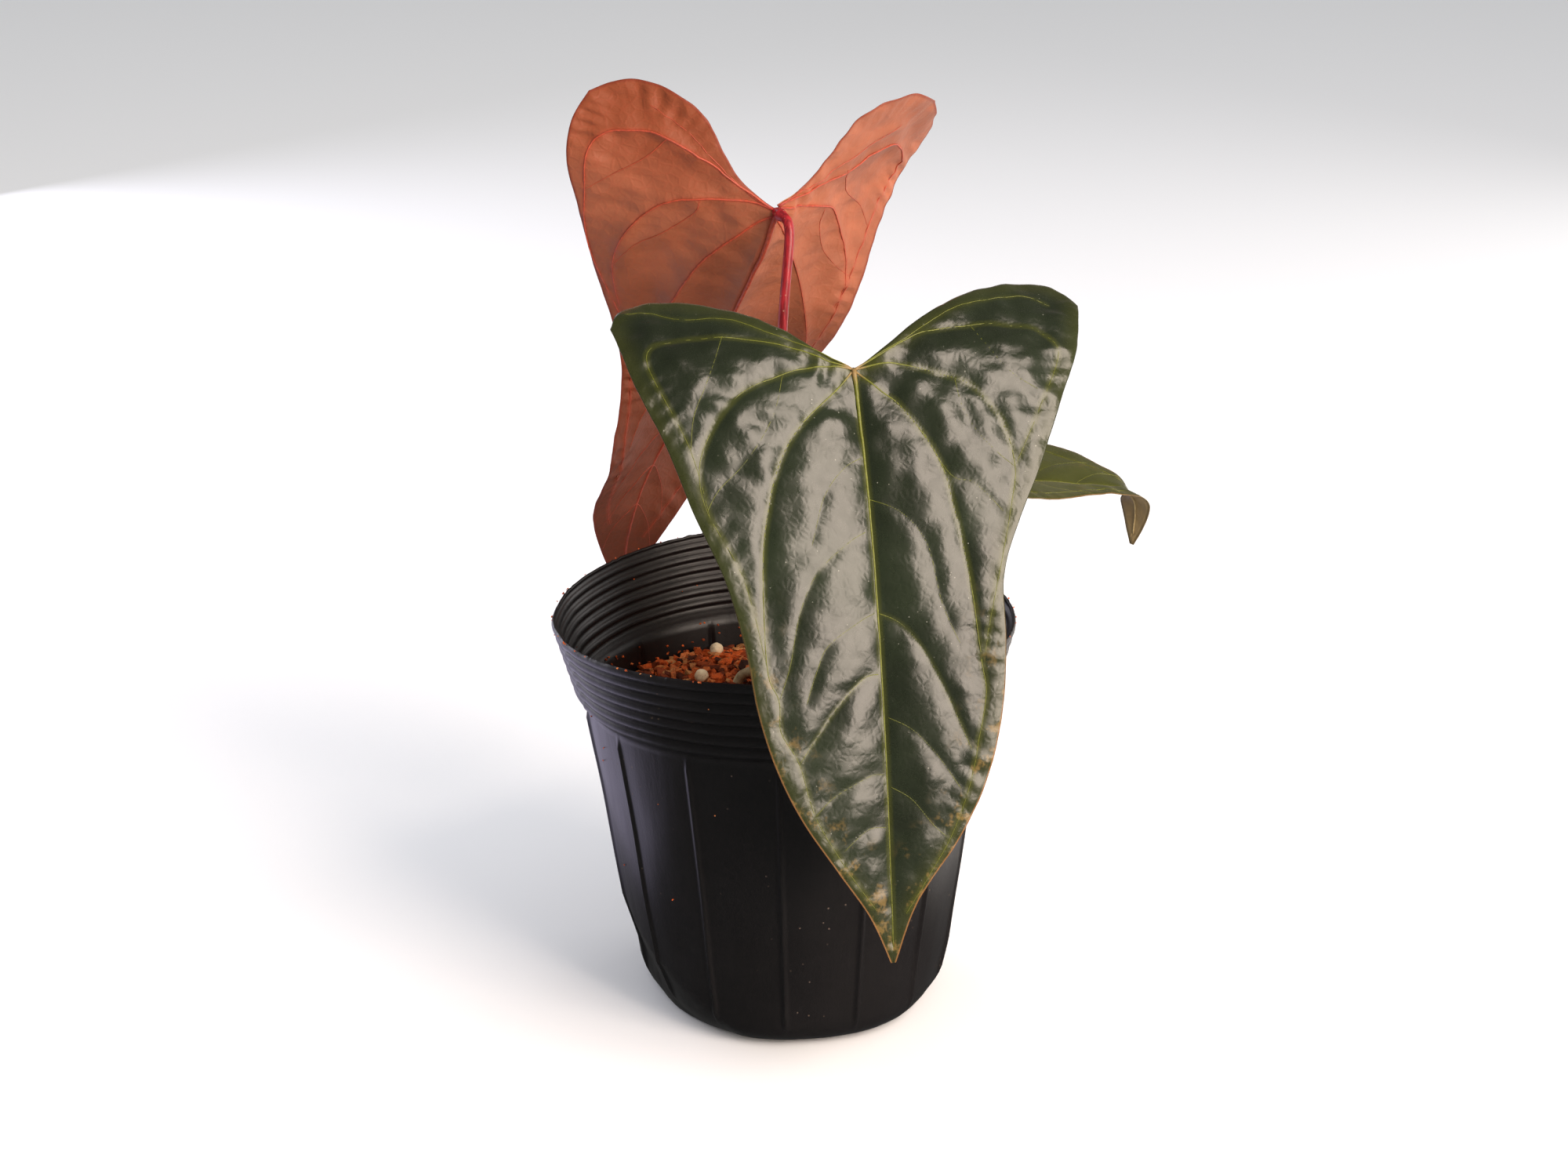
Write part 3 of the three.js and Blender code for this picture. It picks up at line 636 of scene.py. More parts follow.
def dent(angle, z):
    """Push-in of the base's lower left corner, with a crease that runs down to the right."""
    arc = arc_from(angle, DENT_ANGLE)
    crease = CREASE_HEIGHT - CREASE_FALL * arc
    below = min(1.0, max(0.0, (crease - z) / DENT_REACH)) * ease(z, -6, 6)
    window = ease(arc, -34, 2) * (1 - ease(arc, 36, 46))
    kink = math.exp(-((arc - KINK_ARC) / 4) ** 2 - ((z - KINK_Z) / 3) ** 2)
    ridge = math.exp(-((crease - z) / RIDGE_WIDTH) ** 2)
    ridge *= ease(arc, -8, 8) * (1 - ease(arc, 38, 48))
    return DENT_DEPTH * below * window + KINK_DEPTH * kink - RIDGE_HEIGHT * ridge


def flat_spot(angle, z):
    """A slight flattening of the base's lower right corner."""
    arc = arc_from(angle, FLAT_ANGLE)
    return FLAT_DEPTH * math.exp(-(arc / FLAT_WIDTH) ** 2) * (1 - ease(z, 4, 24))


def shape_wall(point, pot):
    """Moves a point of the turned pot to its place on the soft, slightly bent real one."""
    pitch = 2 * math.pi / pot.upright_ribs
    angle = math.atan2(point.y, point.x)
    offset = rib_closeness(angle, pot.upright_ribs)
    share = offset / (pitch / 2)
    crowded = RIB_CROWDING * share + (1 - RIB_CROWDING) * share ** 3
    angle += (crowded - share) * pitch / 2
    offset = rib_closeness(angle, pot.upright_ribs)
    radius, z = math.hypot(point.x, point.y), point.z
    body_top = pot.height - pot.collar_height - LEDGE_DROP
    on_wall = ease(radius, pot.base_radius - pot.base_fillet, pot.base_radius - 2)
    along = ease(z, 5, 11) * (1 - ease(z, body_top - 4, body_top - 2.5))
    rib = max(0, math.cos(min(1, abs(offset) * radius / RIB_HALF_WIDTH) * math.pi / 2)) ** 1.5
    seam_arc = ((angle - SEAM_ANGLE + math.pi / 2) % math.pi - math.pi / 2) * radius
    seam = SEAM_HEIGHT * max(0, 1 - abs(seam_arc) / SEAM_HALF_WIDTH)
    ticks = TICK_HEIGHT * max(0, 1 - abs(seam_arc) / TICK_HALF_WIDTH)
    ticks *= z > pot.height - pot.collar_height
    sag = SAG * rough_noise(2.2 * math.cos(angle), 2.2 * math.sin(angle), z / 45)
    waver = WAVER * rough_noise(5 * math.cos(angle), 5 * math.sin(angle), z / 30 + 9)
    push = dent(angle, z) + flat_spot(angle, z)
    radius += on_wall * (RIB_HEIGHT * rib * along + seam + ticks + sag + waver - push)
    lip = ease(z, pot.height - LIP_BAND, pot.height)
    ragged = rough_noise(40 * math.cos(angle), 40 * math.sin(angle), 3)
    ragged += 0.6 * rough_noise(90 * math.cos(angle), 90 * math.sin(angle), 5)
    z += lip * LIP_RAGGEDNESS * ragged
    radius += lip * LIP_SPREAD * ragged
    height = point.z / pot.height
    reach = min(1, radius / pot.body_top_radius)
    z -= pot.rim_saddle * math.cos(2 * angle) * max(0, height) ** 4 * reach
    return Vector((
        radius * math.cos(angle) + pot.base_shift * (1 - height),
        radius * math.sin(angle),
        max(z, 0.0) if point.z > 1e-4 else point.z,
    ))


def open_drains(bm, pot):
    """Cuts the drainage holes through both faces of the base and walls them."""
    for hole in range(DRAIN_HOLES):
        angle = 2 * math.pi * (hole + 0.5) / DRAIN_HOLES
        middle = Vector((pot.drain_ring * math.cos(angle), pot.drain_ring * math.sin(angle), 0))
        inside = [
            face for face in bm.faces
            if face.calc_center_median().z < 4
            and (face.calc_center_median() - middle).xy.length < pot.drain_radius
        ]
        border = {e for face in inside for e in face.edges
                  if sum(linked in inside for linked in e.link_faces) == 1}
        bmesh.ops.delete(bm, geom=inside, context="FACES")
        border = [edge for edge in border if edge.is_valid]
        for vert in {vert for edge in border for vert in edge.verts}:
            away = (vert.co - middle).xy.normalized() * pot.drain_radius
            vert.co.xy = middle.xy + away
        bmesh.ops.bridge_loops(bm, edges=border)


class Millimetres:
    """Reads a settings group with its lengths in millimetres."""

    def __init__(self, group):
        for name in group.__annotations__:
            value = getattr(group, name)
            setattr(self, name, value / MM if isinstance(value, float) else value)


def make_pot(settings):
    """The wall is turned from its profile, thickened inwards, and then bent out of true."""
    pot = Millimetres(settings)
    bm = turned(pot_profile(pot), COLUMNS_PER_RIB * pot.upright_ribs, FIRST_RIB_ANGLE)
    base = (face for face in bm.faces if face.calc_center_median().z < 0.1)
    if sum(face.normal.z * face.calc_area() for face in base) > 0:
        bmesh.ops.reverse_faces(bm, faces=bm.faces)
    bmesh.ops.solidify(bm, geom=bm.faces[:], thickness=pot.wall)
    for vert in bm.verts:
        vert.co.z = max(vert.co.z, 0)
    for vert in bm.verts:
        vert.co = shape_wall(vert.co, pot)
    open_drains(bm, pot)
    finish_piece("pot_shell", bm, [pot_plastic(settings)], ["pot"])


# ------------------------------------------------------------------ leaves

# Each blade is described flat, and then bent, in the part's own words:
# s runs down the midrib from the stalk's joint, t is the distance from the midrib.
# Bends: [s, dip, heading, roll, left fold, left curl, right fold, right curl].
# Swell and pucker scale the quilting and the margin's folds, and detail the sheet's divisions.
LEAVES = {
    "front": {
        "joint": (20.5, -45, 224), "length": 179,
        "notch": ([[0, 0], [-6, 10], [-15, 21], [-25, 39], [-30, 56], [-28, 66], [-21, 70]],
                  [[0, 0], [-6, 10], [-16, 24], [-26, 43], [-30, 62], [-27, 71], [-20, 75]]),
        "margin": ([[-21, 70], [0, 66], [20, 59], [40, 53], [60, 45.5], [80, 41], [99, 38.5],
                    [116, 34], [132, 27], [149, 16.5], [164, 7]],
                   [[-20, 75], [-3, 70.5], [14, 62], [33, 53], [50, 44], [65, 38.5], [84, 38],
                    [104, 36], [124, 30.5], [142, 21], [160, 8]]),
        "bends": [[-60, 5, 13, 0, 0, -2, 0, -2], [-25, 32, 13, 0, 4, -2, 4, -2],
                  [0, 52, 13, 0, 8, -2.5, 8, -2.5], [60, 70, 13, 0, 8, -2.5, 8, -2.5],
                  [120, 78, 14, 0, 8, -3, 8, -3], [185, 84, 12, 0, 6, -3, 6, -3]],
        "stalk": [[0.15, 0.05, 0.3], [0.55, 0.42, 0.68]], "hook": 14, "seat_angle": -60,
        "swell": 1, "pucker": 0.2, "detail": 1,
    },
    "back": {
        "joint": (-2.5, 25, 257), "length": 190,
        "notch": ([[0, 0], [-6, 12], [-16, 19], [-27, 26], [-31, 37], [-31, 48], [-25, 61]],
                  [[0, 0], [-5, 12], [-14, 21], [-25, 30], [-31, 43], [-30, 57], [-22, 67]]),
        "margin": ([[-25, 61], [-10, 73], [6, 67], [20, 57], [38, 49], [60, 43], [82, 39],
                    [104, 36], [126, 29], [148, 20.5], [170, 9.5]],
                   [[-22, 67], [-8, 69.5], [8, 67], [25, 58], [42, 48], [61, 37], [81, 30],
                    [98, 30], [115, 33], [136, 27], [163, 12]]),
        "bends": [[-60, 74, 174, 10, 33, 0, 17, 0], [0, 64, 223, 10, 19, 0, 36, 0],
                  [65, 45, 200, 3, 2, 0, 13, 0], [125, 59, 235, 3, -15, 0, -10, 0],
                  [195, 84, 176, -5, -19, 0, 4, 0]],
        "stalk": [[-0.4, 0.32, 0.49], [0.2, 0.65, 0.83]], "hook": 9, "seat_angle": 175,
        "swell": 1.5, "pucker": 0.5, "detail": 1,
    },
    "side": {
        "joint": (31, 27, 179), "length": 103,
        "notch": ([[0, 0], [-4, 7], [-10, 16], [-16, 26], [-19, 35], [-17, 42], [-12, 45]],
                  [[0, 0], [-4, 7], [-10, 16], [-18, 26], [-22, 36], [-20, 44], [-13, 47]]),
        "margin": ([[-12, 45], [0, 42], [12, 37], [24, 32], [37, 28], [49, 26.5], [59, 23.5],
                    [67, 18], [75, 13], [84, 9], [93, 5]],
                   [[-13, 47], [0, 43], [12, 38], [24, 33], [37, 29], [48, 28], [58, 27],
                    [67, 23], [75, 15], [84, 10], [94, 5]]),
        "bends": [[-45, 45, 95, 0, 10, 0, 20, 0], [0, 18, 92, 0, 8, -2, 12, -2],
                  [30, 13, 90, 0, 8, -3, 12, -3], [57, 4, 88, 0, 6, -3, 12, -3],
                  [75, 6, 86, 0, 5, -4, 6, -4], [83, 30, 84, -8, 0, -2, 0, -2],
                  [89, 84, 84, -42, 0, -2, 0, -2], [106, 98, 84, -55, 0, -2, 0, -2]],
        "stalk": [[0.1, 0.1, 0.4], [0.6, 0.6, 0.75]], "hook": 10, "seat_angle": 60,
        "swell": 1, "pucker": 0.2, "detail": 0.6,
    },
}
TIP_HALF_WIDTH = 0.8
NOTCH_STEPS, MARGIN_STEPS = 121, 361
WALK_START, WALK_BEYOND, WALK_STEP = -60, 8, 0.5
HALVES_APART = 500
# How far a vein holds the panels down, and how far its colour spreads.
FURROW_WIDTH, VEIN_GLOW = 4.5, 1.6
MEAN_SWELL = 0.55
# The curl, in radians for each millimetre, that stands for none.
FLAT_CURL = 1e-5

# Veins in flat coordinates, t below 0 on the left half: (weight, points). A weight of 1 is a
# main vein; the thinner laterals have less.
VEINS = {
    "front": [
        (0.7, [[0, 0], [-8, -14], [-13, -24], [-19, -35], [-21, -49], [-25, -57], [-26, -65]]),
        (0.9, [[0, 0], [-3, -8], [-6, -14], [-9, -22], [-12, -33], [-13, -43], [-13, -52],
               [-12, -58], [-9, -61], [-4, -61], [3, -59], [22, -52], [44, -48]]),
        (1.0, [[0, 0], [-1, -6], [-1, -13], [0, -20], [4, -32], [8, -38], [16, -45], [27, -50],
               [40, -49], [60, -40], [86, -35]]),
        (1.0, [[0, 0], [6, -6], [16, -18], [27, -26], [41, -31], [58, -34], [86, -35], [96, -32],
               [105, -32], [115, -27], [131, -23], [148, -14], [162, -5]]),
        (0.6, [[49, -2], [52, -8], [60, -18], [71, -24], [86, -28], [96, -32]]),
        (0.55, [[73, -1], [75, -6], [81, -16], [88, -20], [98, -24]]),
        (0.8, [[91, -1], [92, -6], [100, -15], [110, -23], [115, -27]]),
        (0.6, [[121, -1], [121, -6], [126, -17], [131, -23]]),
        (0.5, [[137, -1], [137, -7], [143, -15]]),
        (0.45, [[1, -22], [14, -27], [26, -36], [34, -45], [40, -49]]),
        (0.4, [[27, -1], [30, -7], [38, -14], [52, -19]]),
        (0.45, [[-13, -38], [-4, -42], [4, -46], [12, -50], [22, -52]]),
        (0.9, [[0, 0], [-4, 9], [-10, 22], [-12, 38], [-12, 47], [-11, 55], [-9, 60], [-1, 64],
               [14, 56], [33, 45]]),
        (0.7, [[0, 0], [-8, 16], [-14, 26], [-19, 36], [-22, 47], [-23, 57], [-20, 66]]),
        (1.0, [[0, 0], [-1, 9], [0, 16], [5, 30], [9, 36], [20, 43], [33, 45], [46, 42], [64, 37],
               [75, 34], [88, 31]]),
        (1.0, [[0, 0], [7, 7], [13, 13], [29, 22], [43, 25], [63, 28], [88, 30], [99, 31],
               [113, 28], [125, 25], [140, 19], [153, 11], [164, 4]]),
        (0.75, [[73, 0], [77, 7], [87, 14], [103, 21], [116, 26]]),
        (0.45, [[39, -1], [44, 9], [54, 16], [71, 19], [84, 24]]),
        (0.6, [[20, 18], [34, 25], [37, 32], [46, 40]]),
        (0.5, [[104, 1], [108, 8], [116, 15], [127, 22]]),
        (0.5, [[125, 1], [129, 7], [137, 13], [141, 17]]),
        (0.45, [[5, 30], [14, 31], [24, 36], [33, 45]]),
        (0.4, [[-12, 38], [-4, 42], [4, 47], [10, 55]]),
    ],
    "back": [
        (0.7, [[0, 1], [-2, 9], [-9, 21], [-18, 34], [-24, 48]]),
        (1.0, [[0, 1], [-4, 13], [-9, 24], [-14, 39], [-14, 47], [-9, 58], [1, 62], [16, 59],
               [35, 52], [60, 34], [80, 27], [98, 26], [115, 27], [136, 20], [158, 8]]),
        (1.0, [[0, 1], [0, 8], [4, 24], [11, 35], [25, 42], [40, 42], [56, 35]]),
        (1.0, [[2, 0], [10, 7], [27, 16], [48, 20], [70, 24], [84, 26]]),
        (0.6, [[-14, 39], [-4, 44], [6, 52], [16, 59]]),
        (0.6, [[4, 24], [10, 24], [20, 30], [30, 38], [40, 42]]),
        (0.7, [[-1, -1], [-4, -10], [-6, -19], [-11, -27], [-15, -38], [-20, -50]]),
        (0.9, [[-1, -1], [-6, -27], [-12, -48], [-9, -57], [-4, -62], [1, -63], [20, -51],
               [38, -43], [60, -37], [82, -33], [104, -30], [126, -23], [148, -14], [166, -5]]),
        (1.0, [[0, -2], [4, -24], [9, -32], [24, -39], [41, -41], [51, -38]]),
        (0.9, [[2, 0], [14, -10], [30, -20], [50, -27], [74, -33]]),
        (0.6, [[-8, -30], [2, -36], [10, -46], [20, -51]]),
        (0.55, [[6, -26], [16, -27], [26, -32], [38, -43]]),
    ],
    "side": [
        (0.8, [[0, 0], [-6, 12], [-11, 24], [-14, 36], [-10, 41], [0, 37], [20, 29], [40, 23],
               [56, 21], [68, 14], [82, 6]]),
        (0.9, [[0, 0], [3, 10], [10, 19], [22, 24], [36, 24]]),
        (0.8, [[0, 0], [-5, -11], [-9, -23], [-12, -35], [-8, -39], [0, -36], [20, -28], [40, -22],
               [56, -19], [68, -12], [82, -5]]),
        (0.9, [[0, 0], [3, -10], [10, -19], [22, -24], [36, -23]]),
    ],
}
# A lateral runs from the midrib to this share of the blade's half width.
LATERAL_PATH = ((0, 0), (0.12, 0.3), (0.5, 0.78), (1, 1))
LATERAL_SHARE = 0.74
MIDRIB_WEIGHT, LATERAL_WEIGHT = 1.25, 0.6
# Where laterals leave the midrib of the blades that are seen from behind or edge on, and how
# far down the blade each reaches.
LATERALS = {"front": [], "back": [(58, 27), (84, 30), (108, 30), (130, 26), (148, 20)],
            "side": [(14, 26), (32, 24), (50, 20), (66, 14)]}


def smooth_rows(rows, places):
    """Values at each place from rows sorted on their first entry, joined smoothly."""
    rows = np.array(rows, float)
    last = len(rows) - 1
    at = np.clip(places, rows[0, 0], rows[last, 0])
    k = np.clip(np.searchsorted(rows[:, 0], at, side="right") - 1, 0, last - 1)
    before, start, end, after = (rows[np.clip(k + step, 0, last)] for step in (-1, 0, 1, 2))
    span = (end[:, 0] - start[:, 0])[:, None]
    u = (at[:, None] - start[:, :1]) / span
    slope_in = (end - before) / (end[:, :1] - before[:, :1])
    slope_out = (after - start) / (after[:, :1] - start[:, :1])
    return ((2 * u ** 3 - 3 * u ** 2 + 1) * start + (u ** 3 - 2 * u ** 2 + u) * span * slope_in
            + (3 * u ** 2 - 2 * u ** 3) * end + (u ** 3 - u ** 2) * span * slope_out)


class Blade:
    """One leaf blade: its bent surface, its outline and its veins."""

    def __init__(self, name, quilting):
        self.leaf = leaf = LEAVES[name]
        self.name = name
        self.length = leaf["length"]
        self.quilting = quilting * leaf["swell"]
        self.walk = np.arange(WALK_START, self.length + WALK_BEYOND, WALK_STEP)
        self.rows = smooth_rows(leaf["bends"], self.walk)
        self.along, self.side, self.face = self.frames(self.rows)
        between = smooth_rows(leaf["bends"], self.walk[:-1] + WALK_STEP / 2)
        path = np.vstack([np.zeros(3), np.cumsum(self.frames(between)[0] * WALK_STEP, axis=0)])
        self.joint = np.searchsorted(self.walk, 0)
        self.path = np.array(leaf["joint"], float) + path - path[self.joint]
        self.notch = [curve_through(rows, NOTCH_STEPS) for rows in leaf["notch"]]
        tip = [self.length, TIP_HALF_WIDTH]
        self.edge = [curve_through([*rows, tip], MARGIN_STEPS) for rows in leaf["margin"]]
        self.veins = [(weight, curve_through(rows, 16 * len(rows)))
                      for weight, rows in self.all_veins()]

    @staticmethod
    def frames(rows):
        """Directions down the blade, across it and out of its upper side, for each row."""
        dip, heading, roll = np.radians(rows[:, 1:4]).T
        along = np.stack([np.sin(heading) * np.cos(dip), -np.cos(heading) * np.cos(dip),
                          -np.sin(dip)], axis=1)
        level = np.stack([np.cos(heading), np.sin(heading), 0 * heading], axis=1)
        side = level * np.cos(roll)[:, None] + np.cross(along, level) * np.sin(roll)[:, None]
        return along, side, np.cross(along, side)

    def all_veins(self):
        """The midrib, the veins in the table and the laterals, as (weight, points)."""
        midrib = [[s, 0] for s in np.linspace(0, self.length - 3, 12)]
        veins = [(MIDRIB_WEIGHT, midrib), *VEINS[self.name]]
        margin = np.array(self.leaf["margin"][1]).T
        for start, reach in LATERALS[self.name]:
            inset = LATERAL_SHARE * np.interp(start + reach, *margin)
            for half in (-inset, inset):
                veins.append((LATERAL_WEIGHT, [[start + down * reach, across * half]
                                               for down, across in LATERAL_PATH]))
        return veins

    def at(self, s, t, lift):
        """Bent places of flat ones, lifted off the middle of the blade towards its upper side."""
        row = np.stack([np.interp(s, self.walk, self.rows[:, i]) for i in range(4, 8)])
        fold = np.radians(np.where(t < 0, row[0], row[2]))
        curl = np.radians(np.where(t < 0, row[1], row[3])) / 10
        curl = np.where(abs(curl) < 2 * FLAT_CURL, FLAT_CURL, curl)
        end = fold + curl * abs(t)
        out = np.sign(t) * (np.sin(end) - np.sin(fold)) / curl
        up = (np.cos(fold) - np.cos(end)) / curl
        path, side, face = (
            np.stack([np.interp(s, self.walk, part[:, i]) for i in range(3)], axis=1)
            for part in (self.path, self.side, self.face))
        return (path + side * (out - np.sign(t) * lift * np.sin(end))[:, None]
                + face * (up + lift * np.cos(end))[:, None])

    def flat_grid(self, x, y):
        """Flat coordinates for a square grid's places: x across, y 1 at the notch, 0 at the tip."""
        across, down = np.clip(abs(x), 0, 1), np.clip(1 - y, 0, 1)
        s, t = np.zeros_like(x), np.zeros_like(x)
        for half, chosen in enumerate((x < 0, x >= 0)):
            a, d = across[chosen], down[chosen]
            rim, top = ([np.interp(at, np.linspace(0, 1, len(line)), line[:, i]) for i in (0, 1)]
                        for at, line in ((d, self.edge[half]), (a, self.notch[half])))
            corner = self.notch[half][-1]
            fade = (1 - d) ** 2
            s[chosen] = self.length * d * (1 - a) + rim[0] * a + (top[0] - corner[0] * a) * fade
            t[chosen] = rim[1] * a + (top[1] - corner[1] * a) * fade
        return s, t * np.sign(x)

    def rim_distance(self, s, t):
        """Distance to the margin, and how far round the margin the nearest place is."""
        found = np.zeros(len(s))
        around = np.zeros(len(s))
        for half, chosen in enumerate((t < 0, t >= 0)):
            line = np.vstack([self.notch[half][::3], self.edge[half][1::2]])
            steps = np.cumsum(np.r_[0, np.hypot(*np.diff(line, axis=0).T)])
            gap = np.hypot(s[chosen, None] - line[:, 0], abs(t[chosen, None]) - line[:, 1])
            near = np.clip(gap.argmin(axis=1), 1, len(line) - 2)
            tangent = line[near + 1] - line[near - 1]
            tangent /= np.hypot(*tangent.T)[:, None]
            off = np.stack([s[chosen], abs(t[chosen])], axis=1) - line[near]
            ahead = np.clip((off * tangent).sum(axis=1), -1, 1)
            found[chosen] = np.hypot(*(off - ahead[:, None] * tangent).T)
            around[chosen] = steps[near] + ahead + HALVES_APART * half
        return found, around

    def vein_closeness(self, s, t):
        """How freely the panels swell, 1 far from the veins, and closeness, 1 on a main vein."""
        swell = np.ones(len(s))
        closeness = np.zeros(len(s))
        for weight, line in self.veins:
            line = line[::4]
            gap = np.full(len(s), np.inf)
            for start, end in zip(line, line[1:]):
                step = end - start
                share = np.clip(((s - start[0]) * step[0] + (t - start[1]) * step[1])
                                / (step @ step + 1e-9), 0, 1)
                gap = np.minimum(gap, np.hypot(s - start[0] - share * step[0],
                                               t - start[1] - share * step[1]))
            strength = min(1, weight)
            swell *= 1 - strength * np.exp(-gap / FURROW_WIDTH)
            closeness = np.maximum(closeness, strength * np.exp(-(gap / VEIN_GLOW) ** 2))
        return swell, closeness

    def relief(self, s, t):
        """How far the blade swells from its smooth bent shape, with what the finishes read."""
        swell, closeness = self.vein_closeness(s, t)
        rim, around = self.rim_distance(s, t)
        folds = np.sin(around / 0.95 + 3.1 * np.sin(around / 9.3) + rim * 0.25)
        folds *= 0.55 + 0.45 * np.sin(around / 11.7 + 2 * np.sin(around / 23))
        folds *= smoothstep(rim, 0, 2.5) * (1 - smoothstep(rim, 6.5, 12))
        lobes = 1 - smoothstep(s, -5, 60)
        lumps = np.array([rough_noise(a / 7, b / 7, 2) for a, b in zip(s, t)])
        creases = np.array([rough_noise(a / 3.4, b / 8.5, 7) for a, b in zip(s, t)])
        height = self.quilting * (swell - MEAN_SWELL) * smoothstep(rim, 1, 15)
        height += self.leaf["pucker"] * folds
        height += (0.35 + 0.5 * lobes) * lumps + (0.15 + 0.2 * lobes) * creases
        return height, closeness, rim


def store(mesh, name, values, kind="FLOAT"):
    """Writes one value for each vertex, for a finish to read."""
    field = "value" if kind == "FLOAT" else "vector"
    mesh.attributes.new(name, kind, "POINT").data.foreach_set(field, np.ravel(values).astype("f"))


ROWS, COLUMNS = 210, 150
# A blade thins to this share at its margin, over this many millimetres.
MARGIN_SHARE, MARGIN_BAND = 0.45, 1.5


def make_blade(name, settings, materials):
    """A flat sheet is given its thickness, and its vertices are then moved to the bent blade."""
    blade = Blade(name, settings.quilting / MM)
    detail = blade.leaf["detail"]
    bm = thick_sheet(int(COLUMNS * detail), int(ROWS * detail))
    for face in bm.faces:
        face.material_index = int(face.calc_center_median().z < -0.01)
    piece = finish_piece(name + "_blade_sheet", bm, materials, [name + "_blade"])
    mesh = piece.data
    co = np.zeros(len(mesh.vertices) * 3)
    mesh.vertices.foreach_get("co", co)
    x, y, z = co.reshape(-1, 3).T / MM
    s, t = blade.flat_grid(2 * x, y + 0.5)
    height, closeness, rim = blade.relief(s, t)
    fullness = MARGIN_SHARE + (1 - MARGIN_SHARE) * smoothstep(rim, 0, MARGIN_BAND)
    thin = settings.thickness / MM * fullness
    places = blade.at(s, t, height + np.where(z > -0.5, 0.5, -0.5) * thin)
    mesh.vertices.foreach_set("co", np.ravel(places * MM))
    store(mesh, "flat", np.stack([s, t, 0 * s], axis=1) * MM, "FLOAT_VECTOR")
    store(mesh, "vein", closeness)
    store(mesh, "rim", rim * MM)
    store(mesh, "tip", np.clip(s / blade.length, 0, 1))
    mesh.update()
    return blade


# For each side of a blade: which way it faces, a vein's radius there, and how much a vein
# thickens at the joint.
VEIN_SIDES = ((1, 0.19, 0.9), (-1, 0.32, 0.5))
MIDRIB_STOUTNESS = 2.2
THINNEST_VEIN = 0.085
JOINT_REACH = 16


def make_veins(blade, settings, materials):
    """Each vein is a thin bar half sunk in the blade on both sides: slender above, stout below."""
    half = settings.thickness / MM / 2

    def add_vein(part, tone, index):
        side, stout, swelling = VEIN_SIDES[index % 2]
        weight, line = blade.veins[index // 2]
        before = len(part.faces)
        s, t = line[::3].T
        taper = np.linspace(1, 0.35, len(s))
        from_joint = np.hypot(*line[0]) < 3
        big = 1 + swelling * np.exp(-np.hypot(s, t) / JOINT_REACH) * from_joint
        radii = stout * (MIDRIB_STOUTNESS if weight > 1 else weight ** 1.4) * taper * big
        radii = np.maximum(radii, THINNEST_VEIN)
        radii[-1] *= 0.4
        sunk = np.maximum(half - 0.1 * radii, radii - 0.6 * half)
        lift = blade.relief(s, t)[0] + side * sunk
        points = [Vector(point) for point in blade.at(s, t, lift)]
        sweep(part, points, radii, 8, tone, np.hypot(s, t) * MM)
        for face in list(part.faces)[before:]:
            face.material_index = index % 2

    bm = bmesh.new()
    gather(bm, 2 * len(blade.veins), add_vein, batch_size=1)
    bmesh.ops.recalc_face_normals(bm, faces=bm.faces)
    finish_piece(blade.name + "_blade_veins", bm, materials)


# How often a stalk's path is averaged, which rounds its hook.
HOOK_ROUNDING = 80
STALK_SEAT_RADIUS = 3.6
STALK_FOOT_RISE = 8


def make_petiole(blade, settings, material):
    """The stalk rises from the stem, thickens at its knuckle and turns into the blade's back."""
    leaf = blade.leaf
    joint = Vector(leaf["joint"])
    face = Vector(blade.face[blade.joint])
    along = Vector(blade.along[blade.joint])
    angle = math.radians(leaf["seat_angle"])
    seat = Vector((STEM_MIDDLE.x + STALK_SEAT_RADIUS * math.cos(angle),
                   STEM_MIDDLE.y + STALK_SEAT_RADIUS * math.sin(angle), STEM_HIGH.z - 2))
    end = joint - 0.8 * face
    bend = end - leaf["hook"] * face
    stalk = [Vector((seat[i] + (bend[i] - seat[i]) * share[i] for i in range(3)))
             for share in leaf["stalk"]]
    nodes = [seat, seat + Vector((0, 0, STALK_FOOT_RISE)), *stalk, bend,
             end - 0.3 * leaf["hook"] * face, joint - 0.1 * face + 0.6 * along]
    path = curve_through(nodes, 110)
    for _ in range(HOOK_ROUNDING):
        path[1:-1] = path[1:-1] / 2 + (path[:-2] + path[2:]) / 4
    points = [Vector(row) for row in path]
    share = np.linspace(0, 1, len(points))
    base = settings.petiole_radius / MM
    radii = base * (0.95 + 0.45 * (1 - smoothstep(share, 0, 0.12))
                    + 0.28 * np.exp(-((share - 0.86) / 0.05) ** 2)
                    - 0.12 * smoothstep(share, 0.93, 1))
    bm = bmesh.new()
    sweep(bm, points, radii, 24)
    bmesh.ops.recalc_face_normals(bm, faces=bm.faces)
    finish_piece(blade.name + "_stalk", bm, [material], [blade.name + "_petiole"])


